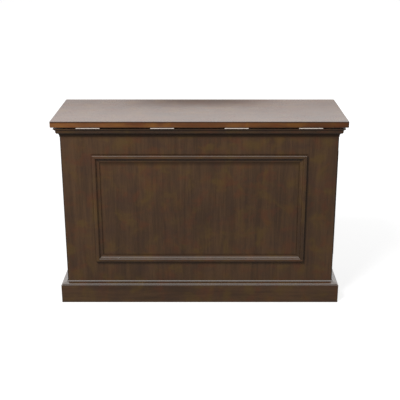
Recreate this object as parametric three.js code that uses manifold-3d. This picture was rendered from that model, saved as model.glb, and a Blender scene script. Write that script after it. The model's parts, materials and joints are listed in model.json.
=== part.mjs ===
// TV lift cabinet with a hinged lid and a two-stage electric lift.
// Millimetres, +Z up, origin on the floor below the middle of the cabinet.
// X runs along the width. -Y is the hinge side and +Y is the side that the television faces.

import * as THREE from 'three';
import { mergeVertices } from 'three/addons/utils/BufferGeometryUtils.js';
import Module from 'manifold-3d';

const wasm = await Module();
wasm.setup();

// Overall sizes
const TOTAL_HEIGHT = 848;
const CASE_WIDTH = 1206;
const CASE_DEPTH = 388;

// Clearances that all pieces share
const GLUE_GAP = 0.3; // between faces that are glued, screwed or rest on each other
const MITRE_GAP = 0.25; // taken off each end of a mitred strip
const RUNNING_GAP = 0.4; // between faces that slide or turn
const OVERRUN = 2; // how far a cutting tool passes the face that it cuts

// Facets of the round forms
const ARC_STEPS = 6;
const EDGE_STEPS = 3;
const HOLE_STEPS = 10;
const KNUCKLE_STEPS = 12;
const ROUND_STEPS = 28;

// Panels of the case
const PANEL_THICKNESS = 18;
const PANEL_FLOOR_GAP = 20;
const PANEL_CORNER_RADIUS = 6;
const DECK_HEIGHT = 70;
const DECK_THICKNESS = 18;

// Lid board
const LID_THICKNESS = 27;
const LID_OVERHANG = 32; // beyond the long sides of the case
const LID_END_OVERHANG = 34.5; // beyond its short sides
const LID_CORNER_RADIUS = 6;
const LID_EDGE_RADIUS = 2.5;

// Butt hinges between the lid and the rear top rail
const HINGE_COUNT = 4;
const HINGE_LENGTH = 101.6;
const HINGE_PITCH = 317.5;
const LEAF_THICKNESS = 2;
const LEAF_WIDTH = 26.8;
const LEAF_GAP = 1.4; // between the closed leaves
const LEAF_KNUCKLE_GAP = 1;
const HINGE_RAIL_GAP = 0.8; // from the knuckle to the front edge of the rail
const PIN_RADIUS = 1.6;
const KNUCKLE_COUNT = 5;
const HINGE_SCREW_RADIUS = 2.2;
const HINGE_SCREW_PITCH = 34;

// Rubber bumpers that the closed lid rests on
const BUMPER_RADIUS = 7;
const BUMPER_END_INSET = 43;
const BUMPER_FACE_INSET = 4;

// Top rails, a flat mitred frame that lies on the panels
const RAIL_THICKNESS = 9;
const RAIL_PROJECTION = 23;
const RAIL_REACH_IN = 28;
const RAIL_COVE_WIDTH = 5;
const RAIL_COVE_HEIGHT = 4;

// Crown moulding below the rails
const CROWN_HEIGHT = 31.7;
const CROWN_PROJECTION = 15;
const CROWN_FOOT = 1;
const CROWN_FOOT_HEIGHT = 3.5;
const CROWN_COVE_WIDTH = 9;
const CROWN_COVE_HEIGHT = 12.5;
const CROWN_STEP = 1.5;
const CROWN_STEP_HEIGHT = 1.5;
const CROWN_FILLET = 3.7;

// Plinth boards and the cap moulding on them
const PLINTH_HEIGHT = 85;
const PLINTH_PROJECTION = 27;
const PLINTH_EDGE_RADIUS = 2;
const PLINTH_LEDGE = 5; // flat of the board that shows in front of the cap
const CAP_HEIGHT = 14;
const CAP_FOOT_HEIGHT = 2.7;
const CAP_HEAD = 3;
const CAP_HEAD_HEIGHT = 2.6;

// Applied moulding that frames each panel
const MOULDING_WIDTH = 32;
const MOULDING_SIDE_HEIGHT = 8;
const MOULDING_ROUND_RADIUS = 5;
const MOULDING_FLAT = 7;
const MOULDING_OVOLO_WIDTH = 5;
const MOULDING_OVOLO_HEIGHT = 4.5;
const MOULDING_STEP_WIDTH = 1.5;
const MOULDING_STEP_HEIGHT = 1.5;
const MOULDING_COVE_WIDTH = 10;
const MOULDING_COVE_HEIGHT = 5;
const FRAME_MARGIN_LONG = 134.5; // from the frame to the corner of the case, on the long sides
const FRAME_MARGIN_SHORT = 75; // the same on the short sides
const FRAME_MARGIN_HEAD = 81.8; // from the frame up to the crown
const FRAME_MARGIN_FOOT = 93.5; // from the frame down to the plinth cap

// Cable hole in the deck, with its grommet
const CABLE_HOLE_RADIUS = 30;
const CABLE_HOLE_END_INSET = 165;
const CABLE_HOLE_REAR_INSET = 66;
const GROMMET_WALL = 4.7;
const GROMMET_FLANGE = 5;
const GROMMET_FLANGE_THICKNESS = 2;

// Lift: base plate
const BASE_WIDTH = 320;
const BASE_THICKNESS = 6;
const BASE_CORNER_RADIUS = 12;
const BASE_REAR_GAP = 3;
const BASE_FRONT_LIP = 19;
const BASE_HOLE_RADIUS = 4.5;
const BASE_HOLE_INSET = 16;

// Lift: gear motor, with the boss that reaches into the outer column and turns the screws
const GEARBOX_WIDTH = 70;
const GEARBOX_DEPTH = 62;
const GEARBOX_HEIGHT = 50;
const GEARBOX_CORNER_RADIUS = 6;
const GEARBOX_COLUMN_GAP = 3;
const GEARBOX_WALL_GAP = 9;
const MOTOR_RADIUS = 26;
const MOTOR_LENGTH = 112;
const MOTOR_CAP_RADIUS = 18;
const MOTOR_CAP_LENGTH = 6;
const BOSS_WIDTH = 36;
const BOSS_HEIGHT = 26.4;
const BOSS_FRONT_REACH = 18;
const BEARING_RADIUS = 14;
const BEARING_HEIGHT = 3;
const CUTOUT_GAP = 2;

// Lift: three columns, one inside the other
const STAGE_TRAVEL = 330;
const COLUMN_WIDTH = 110;
const COLUMN_DEPTH = 80;
const COLUMN_WALL = 3;
const COLUMN_CORNER_RADIUS = 8;
const COLUMN_NEST_GAP = 1.5; // between one column and the next, bridged by the guide rings
const COLUMN_TOP_STEP = 10;
const COLUMN_HEADROOM = 45;
const GUIDE_HEIGHT = 20;
const FOOT_CLEARANCE = 4;

// Lift: screws and nuts
const LOWER_SCREW_RADIUS = 8;
const UPPER_SCREW_RADIUS = 12;
const SCREW_NUT_GAP = 0.5;
const SCREW_NEST_GAP = 0.75;
const SCREW_CHAMFER = 2;
const SCREW_SPARE = 8;
const SCREW_FLANGE_RADIUS = 20;
const SCREW_FLANGE_THICKNESS = 6;
const NUT_HEIGHT = 30;
const NUT_INSET = 3;

// Lift: head bracket, crossbar and television arms
const HEAD_WIDTH = 120;
const HEAD_THICKNESS = 6;
const HEAD_COLUMN_GAP = 2;
const HEAD_DROP = 281;
const CHEEK_THICKNESS = 3;
const CHEEK_DROP = 110;
const CROSSBAR_LENGTH = 640;
const CROSSBAR_HEIGHT = 60;
const CROSSBAR_DEPTH = 12;
const CROSSBAR_WALL = 3;
const CROSSBAR_DROP = 181.3; // from the top of the head plate to the middle of the crossbar
const ARM_SPACING = 400;
const ARM_WIDTH = 32;
const ARM_DEPTH = 20;
const ARM_LENGTH = 420;
const ARM_WALL = 2.5;
const ARM_SLOT_WIDTH = 7;
const ARM_SLOT_LENGTH = 42;
const ARM_SLOT_COUNT = 6;
const ARM_END_MARGIN = 18;

// Lift: goalpost with the two rollers that push the lid open
const ROLLER_LID_GAP = 109; // from the roller at rest up to the lid
const ROLLER_RADIUS = 18;
const ROLLER_WIDTH = 26;
const ROLLER_CHAMFER = 2;
const ROLLER_SIDE_GAP = 1;
const AXLE_RADIUS = 4;
const AXLE_HEAD_RADIUS = 8;
const AXLE_HEAD_THICKNESS = 3;
const PUSHER_BAR_LENGTH = 300;
const PUSHER_BAR_HEIGHT = 18;
const PUSHER_POST_SPACING = 220;
const PUSHER_POST_WIDTH = 20;
const PUSHER_FOOT_WIDTH = 52;
const PUSHER_FOOT_THICKNESS = 4;

// Lift: control box on the inside of the rear panel
const CONTROL_WIDTH = 140;
const CONTROL_DEPTH = 40;
const CONTROL_HEIGHT = 90;
const CONTROL_CORNER_RADIUS = 8;
const CONTROL_END_INSET = 165;
const CONTROL_DECK_GAP = 42;

// Heights of the case, worked out downwards from the lid
const knuckleRadius = LEAF_THICKNESS + LEAF_GAP / 2;
const lidUnderside = TOTAL_HEIGHT - LID_THICKNESS;
const hingeHeight = lidUnderside - GLUE_GAP - knuckleRadius;
const railTop = hingeHeight - knuckleRadius - GLUE_GAP;
const railBottom = railTop - RAIL_THICKNESS;
const panelTop = railBottom - GLUE_GAP;
const crownBottom = panelTop - CROWN_HEIGHT;
const capBottom = PLINTH_HEIGHT + GLUE_GAP;
const capTop = capBottom + CAP_HEIGHT;
const frameTop = crownBottom - FRAME_MARGIN_HEAD;
const frameBottom = capTop + FRAME_MARGIN_FOOT;

// Places along the depth, worked out from the rear panel
const rearInside = PANEL_THICKNESS - CASE_DEPTH / 2;
const hingeLine = -CASE_DEPTH / 2 - RAIL_PROJECTION - HINGE_RAIL_GAP - knuckleRadius;
const columnLine =
  rearInside + GEARBOX_WALL_GAP + GEARBOX_DEPTH + GEARBOX_COLUMN_GAP + COLUMN_DEPTH / 2;
const headRear = columnLine + COLUMN_DEPTH / 2 + HEAD_COLUMN_GAP;
const crossbarRear = headRear + HEAD_THICKNESS + GLUE_GAP;
const armRear = crossbarRear + CROSSBAR_DEPTH + GLUE_GAP;

// Heights of the lift, worked out upwards from the deck
const deckTop = DECK_HEIGHT + DECK_THICKNESS;
const baseBottom = deckTop + GLUE_GAP;
const columnFoot = baseBottom + BASE_THICKNESS + GLUE_GAP;
const bearingTop = columnFoot + BOSS_HEIGHT + BEARING_HEIGHT;
const middleFoot = bearingTop + FOOT_CLEARANCE;
const lowerNutTop = middleFoot + NUT_INSET + NUT_HEIGHT;
const upperScrewFoot = lowerNutTop + GLUE_GAP;
const innerFoot = upperScrewFoot + SCREW_FLANGE_THICKNESS + FOOT_CLEARANCE;
const upperNutTop = innerFoot + NUT_INSET + NUT_HEIGHT;
const lowerScrewTop = lowerNutTop + STAGE_TRAVEL + SCREW_SPARE;
const upperScrewTop = upperNutTop + STAGE_TRAVEL + SCREW_SPARE;
const outerTop = upperScrewTop + COLUMN_HEADROOM;
const middleTop = outerTop + COLUMN_TOP_STEP;
const innerTop = middleTop + COLUMN_TOP_STEP;
const headBottom = innerTop + GLUE_GAP;
const headTop = headBottom + HEAD_THICKNESS;
const crossbarMiddle = headTop - CROSSBAR_DROP;
const crossbarTop = crossbarMiddle + CROSSBAR_HEIGHT / 2;
const rollerHeight = lidUnderside - ROLLER_LID_GAP - ROLLER_RADIUS;

// Each column is smaller than the one round it by the wall and the nest gap
const nestStep = 2 * (COLUMN_WALL + COLUMN_NEST_GAP);
const middleWidth = COLUMN_WIDTH - nestStep;
const middleDepth = COLUMN_DEPTH - nestStep;
const innerWidth = middleWidth - nestStep;
const innerDepth = middleDepth - nestStep;

// The four sides of the case, each a quarter turn on from the one before
const SIDES = ['rear', 'right', 'front', 'left'];
const QUARTER_TURN = Math.PI / 2;

function material(colour, roughness, metalness = 0) {
  return new THREE.MeshStandardMaterial({ color: colour, roughness, metalness });
}

const darkWood = material('#493428', 0.45);
const lidWood = material('#5e3f2c', 0.35);
const deckWood = material('#4b3a2e', 0.6);
const hingeSteel = material('#b9b2aa', 0.3, 1);
const blackSteel = material('#1d1e20', 0.5, 0.6);
const silverSteel = material('#a7abb0', 0.35, 1);
const blackPlastic = material('#17181a', 0.55);
const nylon = material('#e0ddd4', 0.5);
const rubber = material('#202020', 0.8);

// Solid modelling

function toSolid(geometry) {
  const bare = new THREE.BufferGeometry();
  bare.setAttribute('position', geometry.getAttribute('position'));
  bare.setIndex(geometry.getIndex());
  const merged = mergeVertices(bare);
  const mesh = new wasm.Mesh({
    numProp: 3,
    vertProperties: Float32Array.from(merged.getAttribute('position').array),
    triVerts: Uint32Array.from(merged.getIndex().array),
  });
  return new wasm.Manifold(mesh);
}

function toGeometry(solid) {
  const mesh = solid.getMesh();
  const geometry = new THREE.BufferGeometry();
  geometry.setAttribute('position', new THREE.BufferAttribute(Float32Array.from(mesh.vertProperties), 3));
  geometry.setIndex(new THREE.BufferAttribute(Uint32Array.from(mesh.triVerts), 1));
  geometry.computeVertexNormals();
  return geometry;
}

function join(...geometries) {
  return toGeometry(geometries.map(toSolid).reduce((whole, piece) => whole.add(piece)));
}

function cut(geometry, ...tools) {
  return toGeometry(tools.map(toSolid).reduce((whole, tool) => whole.subtract(tool), toSolid(geometry)));
}

// A block between two limits along each axis.
function block(x, y, z) {
  const geometry = new THREE.BoxGeometry(x[1] - x[0], y[1] - y[0], z[1] - z[0]);
  return geometry.translate((x[0] + x[1]) / 2, (y[0] + y[1]) / 2, (z[0] + z[1]) / 2);
}

// The limits of a size that is centred on a place.
function centred(size, middle = 0) {
  return [middle - size / 2, middle + size / 2];
}

// Draws a rectangle with round corners on a shape or on the path of a hole.
function roundedRectangle(path, width, depth, radius) {
  const x = width / 2 - radius;
  const y = depth / 2 - radius;
  path.moveTo(-x, -y - radius);
  path.lineTo(x, -y - radius);
  path.absarc(x, -y, radius, -QUARTER_TURN, 0, false);
  path.lineTo(x + radius, y);
  path.absarc(x, y, radius, 0, QUARTER_TURN, false);
  path.lineTo(-x, y + radius);
  path.absarc(-x, y, radius, QUARTER_TURN, Math.PI, false);
  path.lineTo(-x - radius, -y);
  path.absarc(-x, -y, radius, Math.PI, 3 * QUARTER_TURN, false);
  return path;
}

// Extrudes a shape upwards between two heights.
function raise(shape, bottom, top, steps = EDGE_STEPS) {
  const geometry = new THREE.ExtrudeGeometry(shape, {
    depth: top - bottom,
    bevelEnabled: false,
    curveSegments: steps,
  });
  return geometry.translate(0, 0, bottom);
}

// Extrudes a shape drawn as (depth, height) along X between two limits.
function runAlongX(shape, from, to) {
  return raise(shape, from, to).rotateX(QUARTER_TURN).rotateZ(QUARTER_TURN);
}

// A block with rounded upright edges.
function roundedBlock(width, depth, bottom, top, radius) {
  return raise(roundedRectangle(new THREE.Shape(), width, depth, radius), bottom, top);
}

// A rectangular tube with rounded upright edges and an even wall.
function rectangularTube(width, depth, wall, bottom, top, radius) {
  const outline = roundedRectangle(new THREE.Shape(), width, depth, radius);
  const innerRadius = Math.max(radius - wall, radius / 2);
  const hole = roundedRectangle(new THREE.Path(), width - 2 * wall, depth - 2 * wall, innerRadius);
  outline.holes.push(hole);
  return raise(outline, bottom, top);
}

// An upright rod or hole tool.
function uprightCylinder(radius, bottom, top, steps) {
  const geometry = new THREE.CylinderGeometry(radius, radius, top - bottom, steps);
  return geometry.rotateX(QUARTER_TURN).translate(0, 0, (top + bottom) / 2);
}

// A rod along X between two limits.
function levelCylinder(radius, from, to, steps) {
  const geometry = new THREE.CylinderGeometry(radius, radius, to - from, steps);
  return geometry.rotateZ(QUARTER_TURN).translate((from + to) / 2, 0, 0);
}

// Revolves an outline of (radius, height) points about the upright axis.
function revolve(outline, steps = ROUND_STEPS) {
  const points = outline.map(([radius, height]) => new THREE.Vector2(radius, height));
  return new THREE.LatheGeometry(points, steps).rotateX(QUARTER_TURN);
}

function addMesh(parent, name, geometry, finish, place = [0, 0, 0]) {
  const mesh = new THREE.Mesh(geometry, finish);
  mesh.name = name;
  mesh.position.set(...place);
  parent.add(mesh);
  return mesh;
}

function addGroup(parent, place = [0, 0, 0], turn = [0, 0, 0]) {
  const group = new THREE.Group();
  group.position.set(...place);
  group.rotation.set(...turn);
  parent.add(group);
  return group;
}

// Mouldings. A profile is drawn as (outward, up) and runs along the side with both ends mitred, so
// that a point further out also reaches further along.

function mitredStrip(profile, length) {
  const geometry = new THREE.ExtrudeGeometry(profile, {
    depth: 1,
    bevelEnabled: false,
    curveSegments: ARC_STEPS,
  });
  const position = geometry.getAttribute('position');
  for (let i = 0; i < position.count; i += 1) {
    const outward = position.getX(i);
    const end = position.getZ(i) > 0 ? 1 : -1;
    const along = end * (length / 2 + outward - MITRE_GAP);
    position.setXYZ(i, -along, -outward, position.getY(i));
  }
  geometry.computeVertexNormals();
  return geometry;
}

// The same moulding carried round the four corners of a frame, as one glued-up piece.
function mitredFrame(profile, width, height) {
  const outline = profile.extractPoints(ARC_STEPS).shape;
  const corners = [[1, 1], [-1, 1], [-1, -1], [1, -1]];
  const places = corners.flatMap(([acrossSign, upSign]) =>
    outline.flatMap((point) => [
      acrossSign * (width / 2 + point.x),
      upSign * (height / 2 + point.x),
      point.y,
    ]),
  );
  const count = outline.length;
  const faces = corners.flatMap((_, corner) =>
    outline.flatMap((__, i) => {
      const next = (i + 1) % count;
      const here = corner * count;
      const there = ((corner + 1) % corners.length) * count;
      return [here + i, there + next, here + next, here + i, there + i, there + next];
    }),
  );
  const geometry = new THREE.BufferGeometry();
  geometry.setAttribute('position', new THREE.Float32BufferAttribute(places, 3));
  geometry.setIndex(faces);
  geometry.computeVertexNormals();
  return geometry;
}

function railProfile() {
  const profile = new THREE.Shape();
  const coveStart = RAIL_PROJECTION - RAIL_COVE_WIDTH;
  profile.moveTo(-RAIL_REACH_IN, 0);
  profile.lineTo(coveStart, 0);
  profile.absellipse(RAIL_PROJECTION, 0, RAIL_COVE_WIDTH, RAIL_COVE_HEIGHT, Math.PI, QUARTER_TURN, true);
  profile.lineTo(RAIL_PROJECTION, RAIL_THICKNESS);
  profile.lineTo(-RAIL_REACH_IN, RAIL_THICKNESS);
  return profile;
}

// From the bottom: a small foot, a hollow cove, a step, a swelling ovolo and a flat fillet.
function crownProfile() {
  const profile = new THREE.Shape();
  const coveEnd = CROWN_FOOT + CROWN_COVE_WIDTH;
  const coveTop = CROWN_FOOT_HEIGHT + CROWN_COVE_HEIGHT;
  const ovoloStart = coveEnd + CROWN_STEP;
  const ovoloBottom = coveTop + CROWN_STEP_HEIGHT;
  const ovoloTop = CROWN_HEIGHT - CROWN_FILLET;
  profile.moveTo(GLUE_GAP, 0);
  profile.lineTo(CROWN_FOOT, 0);
  profile.lineTo(CROWN_FOOT, CROWN_FOOT_HEIGHT);
  profile.absellipse(
    coveEnd,
    CROWN_FOOT_HEIGHT,
    CROWN_COVE_WIDTH,
    CROWN_COVE_HEIGHT,
    Math.PI,
    QUARTER_TURN,
    true,
  );
  profile.lineTo(ovoloStart, coveTop);
  profile.lineTo(ovoloStart, ovoloBottom);
  profile.absellipse(
    ovoloStart,
    ovoloTop,
    CROWN_PROJECTION - ovoloStart,
    ovoloTop - ovoloBottom,
    -QUARTER_TURN,
    0,
    false,
  );
  profile.lineTo(CROWN_PROJECTION, CROWN_HEIGHT);
  profile.lineTo(GLUE_GAP, CROWN_HEIGHT);
  return profile;
}

function plinthProfile() {
  const profile = new THREE.Shape();
  const edge = PLINTH_EDGE_RADIUS;
  profile.moveTo(GLUE_GAP, 0);
  profile.lineTo(PLINTH_PROJECTION, 0);
  profile.lineTo(PLINTH_PROJECTION, PLINTH_HEIGHT - edge);
  profile.absarc(PLINTH_PROJECTION - edge, PLINTH_HEIGHT - edge, edge, 0, QUARTER_TURN, false);
  profile.lineTo(GLUE_GAP, PLINTH_HEIGHT);
  return profile;
}

// An ogee: it swells out at the foot and hollows in towards the case at the head.
function capProfile() {
  const profile = new THREE.Shape();
  const foot = PLINTH_PROJECTION - PLINTH_LEDGE;
  const shoulder = CAP_HEIGHT - CAP_HEAD_HEIGHT;
  const pullShare = 0.62;
  const pull = pullShare * (shoulder - CAP_FOOT_HEIGHT);
  profile.moveTo(GLUE_GAP, 0);
  profile.lineTo(foot, 0);
  profile.lineTo(foot, CAP_FOOT_HEIGHT);
  profile.bezierCurveTo(foot, CAP_FOOT_HEIGHT + pull, CAP_HEAD, shoulder - pull, CAP_HEAD, shoulder);
  profile.lineTo(CAP_HEAD, CAP_HEIGHT);
  profile.lineTo(GLUE_GAP, CAP_HEIGHT);
  return profile;
}

// Drawn from the outer edge of the frame, at zero, to its inner edge: a rounded outer side, a flat,
// an ovolo, a step and a cove that runs out to a thin lip.
function mouldingProfile() {
  const profile = new THREE.Shape();
  const crest = MOULDING_SIDE_HEIGHT + MOULDING_ROUND_RADIUS;
  const flatEnd = -MOULDING_ROUND_RADIUS - MOULDING_FLAT;
  const ovoloEnd = flatEnd - MOULDING_OVOLO_WIDTH;
  const ovoloFoot = crest - MOULDING_OVOLO_HEIGHT;
  const coveStart = ovoloEnd - MOULDING_STEP_WIDTH;
  const coveTop = ovoloFoot - MOULDING_STEP_HEIGHT;
  const coveEnd = coveStart - MOULDING_COVE_WIDTH;
  const lip = coveTop - MOULDING_COVE_HEIGHT;
  profile.moveTo(0, 0);
  profile.lineTo(0, MOULDING_SIDE_HEIGHT);
  profile.absarc(
    -MOULDING_ROUND_RADIUS,
    MOULDING_SIDE_HEIGHT,
    MOULDING_ROUND_RADIUS,
    0,
    QUARTER_TURN,
    false,
  );
  profile.lineTo(flatEnd, crest);
  profile.absellipse(
    flatEnd,
    ovoloFoot,
    MOULDING_OVOLO_WIDTH,
    MOULDING_OVOLO_HEIGHT,
    QUARTER_TURN,
    Math.PI,
    false,
  );
  profile.lineTo(coveStart, ovoloFoot);
  profile.lineTo(coveStart, coveTop);
  profile.absellipse(coveEnd, coveTop, MOULDING_COVE_WIDTH, MOULDING_COVE_HEIGHT, 0, -QUARTER_TURN, true);
  profile.lineTo(-MOULDING_WIDTH, lip);
  profile.lineTo(-MOULDING_WIDTH, 0);
  return profile;
}

// Case

// The plan of a long panel, with its outer face at zero and its two outer corners rounded.
function longPanel() {
  const plan = new THREE.Shape();
  const flat = CASE_WIDTH / 2 - PANEL_CORNER_RADIUS;
  const radius = PANEL_CORNER_RADIUS;
  plan.moveTo(-flat - radius, PANEL_THICKNESS);
  plan.lineTo(-flat - radius, radius);
  plan.absarc(-flat, radius, radius, Math.PI, 3 * QUARTER_TURN, false);
  plan.lineTo(flat, 0);
  plan.absarc(flat, radius, radius, -QUARTER_TURN, 0, false);
  plan.lineTo(flat + radius, PANEL_THICKNESS);
  return raise(plan, PANEL_FLOOR_GAP, panelTop, ARC_STEPS);
}

// A short panel fits between the two long ones.
function shortPanel() {
  const width = CASE_DEPTH - 2 * (PANEL_THICKNESS + GLUE_GAP);
  return block(centred(width), [0, PANEL_THICKNESS], [PANEL_FLOOR_GAP, panelTop]);
}

function cablePlace() {
  const endInside = CASE_WIDTH / 2 - PANEL_THICKNESS;
  return [endInside - CABLE_HOLE_END_INSET, rearInside + CABLE_HOLE_REAR_INSET, 0];
}

function bottomPanel() {
  const width = CASE_WIDTH - 2 * (PANEL_THICKNESS + GLUE_GAP);
  const depth = CASE_DEPTH - 2 * (PANEL_THICKNESS + GLUE_GAP);
  const board = block(centred(width), centred(depth), [DECK_HEIGHT, deckTop]);
  const hole = uprightCylinder(CABLE_HOLE_RADIUS, DECK_HEIGHT - OVERRUN, deckTop + OVERRUN, ROUND_STEPS);
  return cut(board, hole.translate(...cablePlace()));
}

// A plastic ring that lines the cable hole, with a flange on the deck.
function cableGrommet() {
  const outer = CABLE_HOLE_RADIUS - GLUE_GAP;
  const bore = outer - GROMMET_WALL;
  const seat = deckTop + GLUE_GAP;
  const flange = CABLE_HOLE_RADIUS + GROMMET_FLANGE;
  return revolve([
    [bore, DECK_HEIGHT],
    [outer, DECK_HEIGHT],
    [outer, seat],
    [flange, seat],
    [flange - GROMMET_FLANGE_THICKNESS, seat + GROMMET_FLANGE_THICKNESS],
    [bore, seat + GROMMET_FLANGE_THICKNESS],
    [bore, DECK_HEIGHT],
  ]);
}

// The four strips of the moulding on a long side, named as seen when facing that side.
function addLongFrame(sideGroup, name) {
  const width = CASE_WIDTH - 2 * FRAME_MARGIN_LONG;
  const height = frameTop - frameBottom;
  const face = addGroup(sideGroup, [0, -GLUE_GAP, (frameTop + frameBottom) / 2], [QUARTER_TURN, 0, 0]);
  const strips = ['bottom', 'right', 'top', 'left'];
  strips.forEach((strip, quarter) => {
    const isLevel = quarter % 2 === 0;
    const length = isLevel ? width : height;
    const reach = isLevel ? height / 2 : width / 2;
    const edge = addGroup(face, [0, 0, 0], [0, 0, quarter * QUARTER_TURN]);
    const moulding = mitredStrip(mouldingProfile(), length);
    addMesh(edge, `${name}_frame_${strip}`, moulding, darkWood, [0, -reach, 0]);
  });
}

function addShortFrame(sideGroup, name) {
  const width = CASE_DEPTH - 2 * FRAME_MARGIN_SHORT;
  const height = frameTop - frameBottom;
  const face = addGroup(sideGroup, [0, -GLUE_GAP, (frameTop + frameBottom) / 2], [QUARTER_TURN, 0, 0]);
  addMesh(face, `${name}_frame`, mitredFrame(mouldingProfile(), width, height), darkWood);
}

function addCase(cabinet) {
  SIDES.forEach((name, quarter) => {
    const isLong = quarter % 2 === 0;
    const length = isLong ? CASE_WIDTH : CASE_DEPTH;
    const reach = isLong ? CASE_DEPTH / 2 : CASE_WIDTH / 2;
    const turned = addGroup(cabinet, [0, 0, 0], [0, 0, quarter * QUARTER_TURN]);
    const face = addGroup(turned, [0, -reach, 0]);
    addMesh(face, `${name}_panel`, isLong ? longPanel() : shortPanel(), darkWood);
    addMesh(face, `${name}_plinth_board`, mitredStrip(plinthProfile(), length), darkWood);
    addMesh(face, `${name}_plinth_cap`, mitredStrip(capProfile(), length), darkWood, [0, 0, capBottom]);
    addMesh(face, `${name}_crown`, mitredStrip(crownProfile(), length), darkWood, [0, 0, crownBottom]);
    addMesh(face, `${name}_top_rail`, mitredStrip(railProfile(), length), darkWood, [0, 0, railBottom]);
    if (isLong) {
      addLongFrame(face, name);
    } else {
      addShortFrame(face, name);
    }
  });
  addMesh(cabinet, 'bottom_panel', bottomPanel(), deckWood);
  addMesh(cabinet, 'cable_grommet', cableGrommet(), blackPlastic, cablePlace());
}

// Hinges and lid

// The lengths along a hinge that each knuckle takes, with a running gap between neighbours.
function knuckleSpans() {
  const pitch = HINGE_LENGTH / KNUCKLE_COUNT;
  return Array.from({ length: KNUCKLE_COUNT }, (_, i) => {
    const start = i * pitch - HINGE_LENGTH / 2;
    return [start + RUNNING_GAP / 2, start + pitch - RUNNING_GAP / 2];
  });
}

// Three screw holes along the middle of a leaf.
function leafScrewHoles(bottom, top) {
  const middle = knuckleRadius + LEAF_KNUCKLE_GAP + LEAF_WIDTH / 2;
  return [-HINGE_SCREW_PITCH, 0, HINGE_SCREW_PITCH].map((x) => {
    const hole = uprightCylinder(HINGE_SCREW_RADIUS, bottom - OVERRUN, top + OVERRUN, HOLE_STEPS);
    return hole.translate(x, middle, 0);
  });
}

// A leaf as seen from the hinge pin: the plate, and the knuckles with the necks that join them to it.
function hingeLeaf(bottom, top, spans) {
  const start = knuckleRadius + LEAF_KNUCKLE_GAP;
  const plate = block(centred(HINGE_LENGTH), [start, start + LEAF_WIDTH], [bottom, top]);
  const necks = spans.map((span) => block(span, [0, start + LEAF_WIDTH / 2], [bottom, top]));
  const knuckles = spans.map((span) => levelCylinder(knuckleRadius, span[0], span[1], KNUCKLE_STEPS));
  return join(plate, ...necks, ...knuckles);
}

function fixedLeaf() {
  const bottom = -knuckleRadius;
  const top = bottom + LEAF_THICKNESS;
  const spans = knuckleSpans().filter((_, i) => i % 2 === 0);
  const reach = HINGE_LENGTH / 2 + OVERRUN;
  const bore = levelCylinder(PIN_RADIUS + RUNNING_GAP, -reach, reach, KNUCKLE_STEPS);
  return cut(hingeLeaf(bottom, top, spans), bore, ...leafScrewHoles(bottom, top));
}

// The pin is fixed in the knuckles of the lid leaf and turns in those of the fixed leaf.
function lidLeaf() {
  const top = knuckleRadius;
  const bottom = top - LEAF_THICKNESS;
  const spans = knuckleSpans().filter((_, i) => i % 2 === 1);
  const pin = levelCylinder(PIN_RADIUS, -HINGE_LENGTH / 2, HINGE_LENGTH / 2, KNUCKLE_STEPS);
  return cut(join(hingeLeaf(bottom, top, spans), pin), ...leafScrewHoles(bottom, top));
}

// The board has rounded corners in plan and eased edges above and below.
function lidBoard() {
  const width = CASE_WIDTH + 2 * LID_END_OVERHANG;
  const depth = CASE_DEPTH + 2 * LID_OVERHANG;
  const geometry = new THREE.ExtrudeGeometry(
    roundedRectangle(new THREE.Shape(), width, depth, LID_CORNER_RADIUS),
    {
      depth: LID_THICKNESS - 2 * LID_EDGE_RADIUS,
      bevelEnabled: true,
      bevelThickness: LID_EDGE_RADIUS,
      bevelSize: LID_EDGE_RADIUS,
      bevelOffset: -LID_EDGE_RADIUS,
      bevelSegments: ARC_STEPS / 2,
      curveSegments: ARC_STEPS,
    },
  );
  return geometry.translate(0, 0, lidUnderside + LID_EDGE_RADIUS);
}

function addLidAndHinges(cabinet, lid) {
  addMesh(lid, 'lid_board', lidBoard(), lidWood);
  for (let i = 0; i < HINGE_COUNT; i += 1) {
    const place = [(i - (HINGE_COUNT - 1) / 2) * HINGE_PITCH, hingeLine, hingeHeight];
    addMesh(cabinet, `hinge_fixed_leaf_${i + 1}`, fixedLeaf(), hingeSteel, place);
    addMesh(lid, `hinge_lid_leaf_${i + 1}`, lidLeaf(), hingeSteel, place);
  }
  const bumperX = CASE_WIDTH / 2 - BUMPER_END_INSET;
  const bumperY = CASE_DEPTH / 2 - BUMPER_FACE_INSET;
  for (const [name, sign] of [['left', -1], ['right', 1]]) {
    const bumper = uprightCylinder(BUMPER_RADIUS, railTop + GLUE_GAP, lidUnderside - GLUE_GAP, ROUND_STEPS);
    addMesh(cabinet, `lid_bumper_${name}`, bumper, rubber, [sign * bumperX, bumperY, 0]);
  }
}

// Lift

function liftBasePlate() {
  const rear = rearInside + BASE_REAR_GAP;
  const front = columnLine + COLUMN_DEPTH / 2 + BASE_FRONT_LIP;
  const depth = front - rear;
  const top = baseBottom + BASE_THICKNESS;
  const plate = roundedBlock(BASE_WIDTH, depth, baseBottom, top, BASE_CORNER_RADIUS);
  const holeX = BASE_WIDTH / 2 - BASE_HOLE_INSET;
  const holeY = depth / 2 - BASE_HOLE_INSET;
  const holes = [-1, 1].flatMap((x) =>
    [-1, 1].map((y) => {
      const hole = uprightCylinder(BASE_HOLE_RADIUS, baseBottom - OVERRUN, top + OVERRUN, HOLE_STEPS);
      return hole.translate(x * holeX, y * holeY, 0);
    }),
  );
  return cut(plate, ...holes).translate(0, (rear + front) / 2, 0);
}

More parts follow.
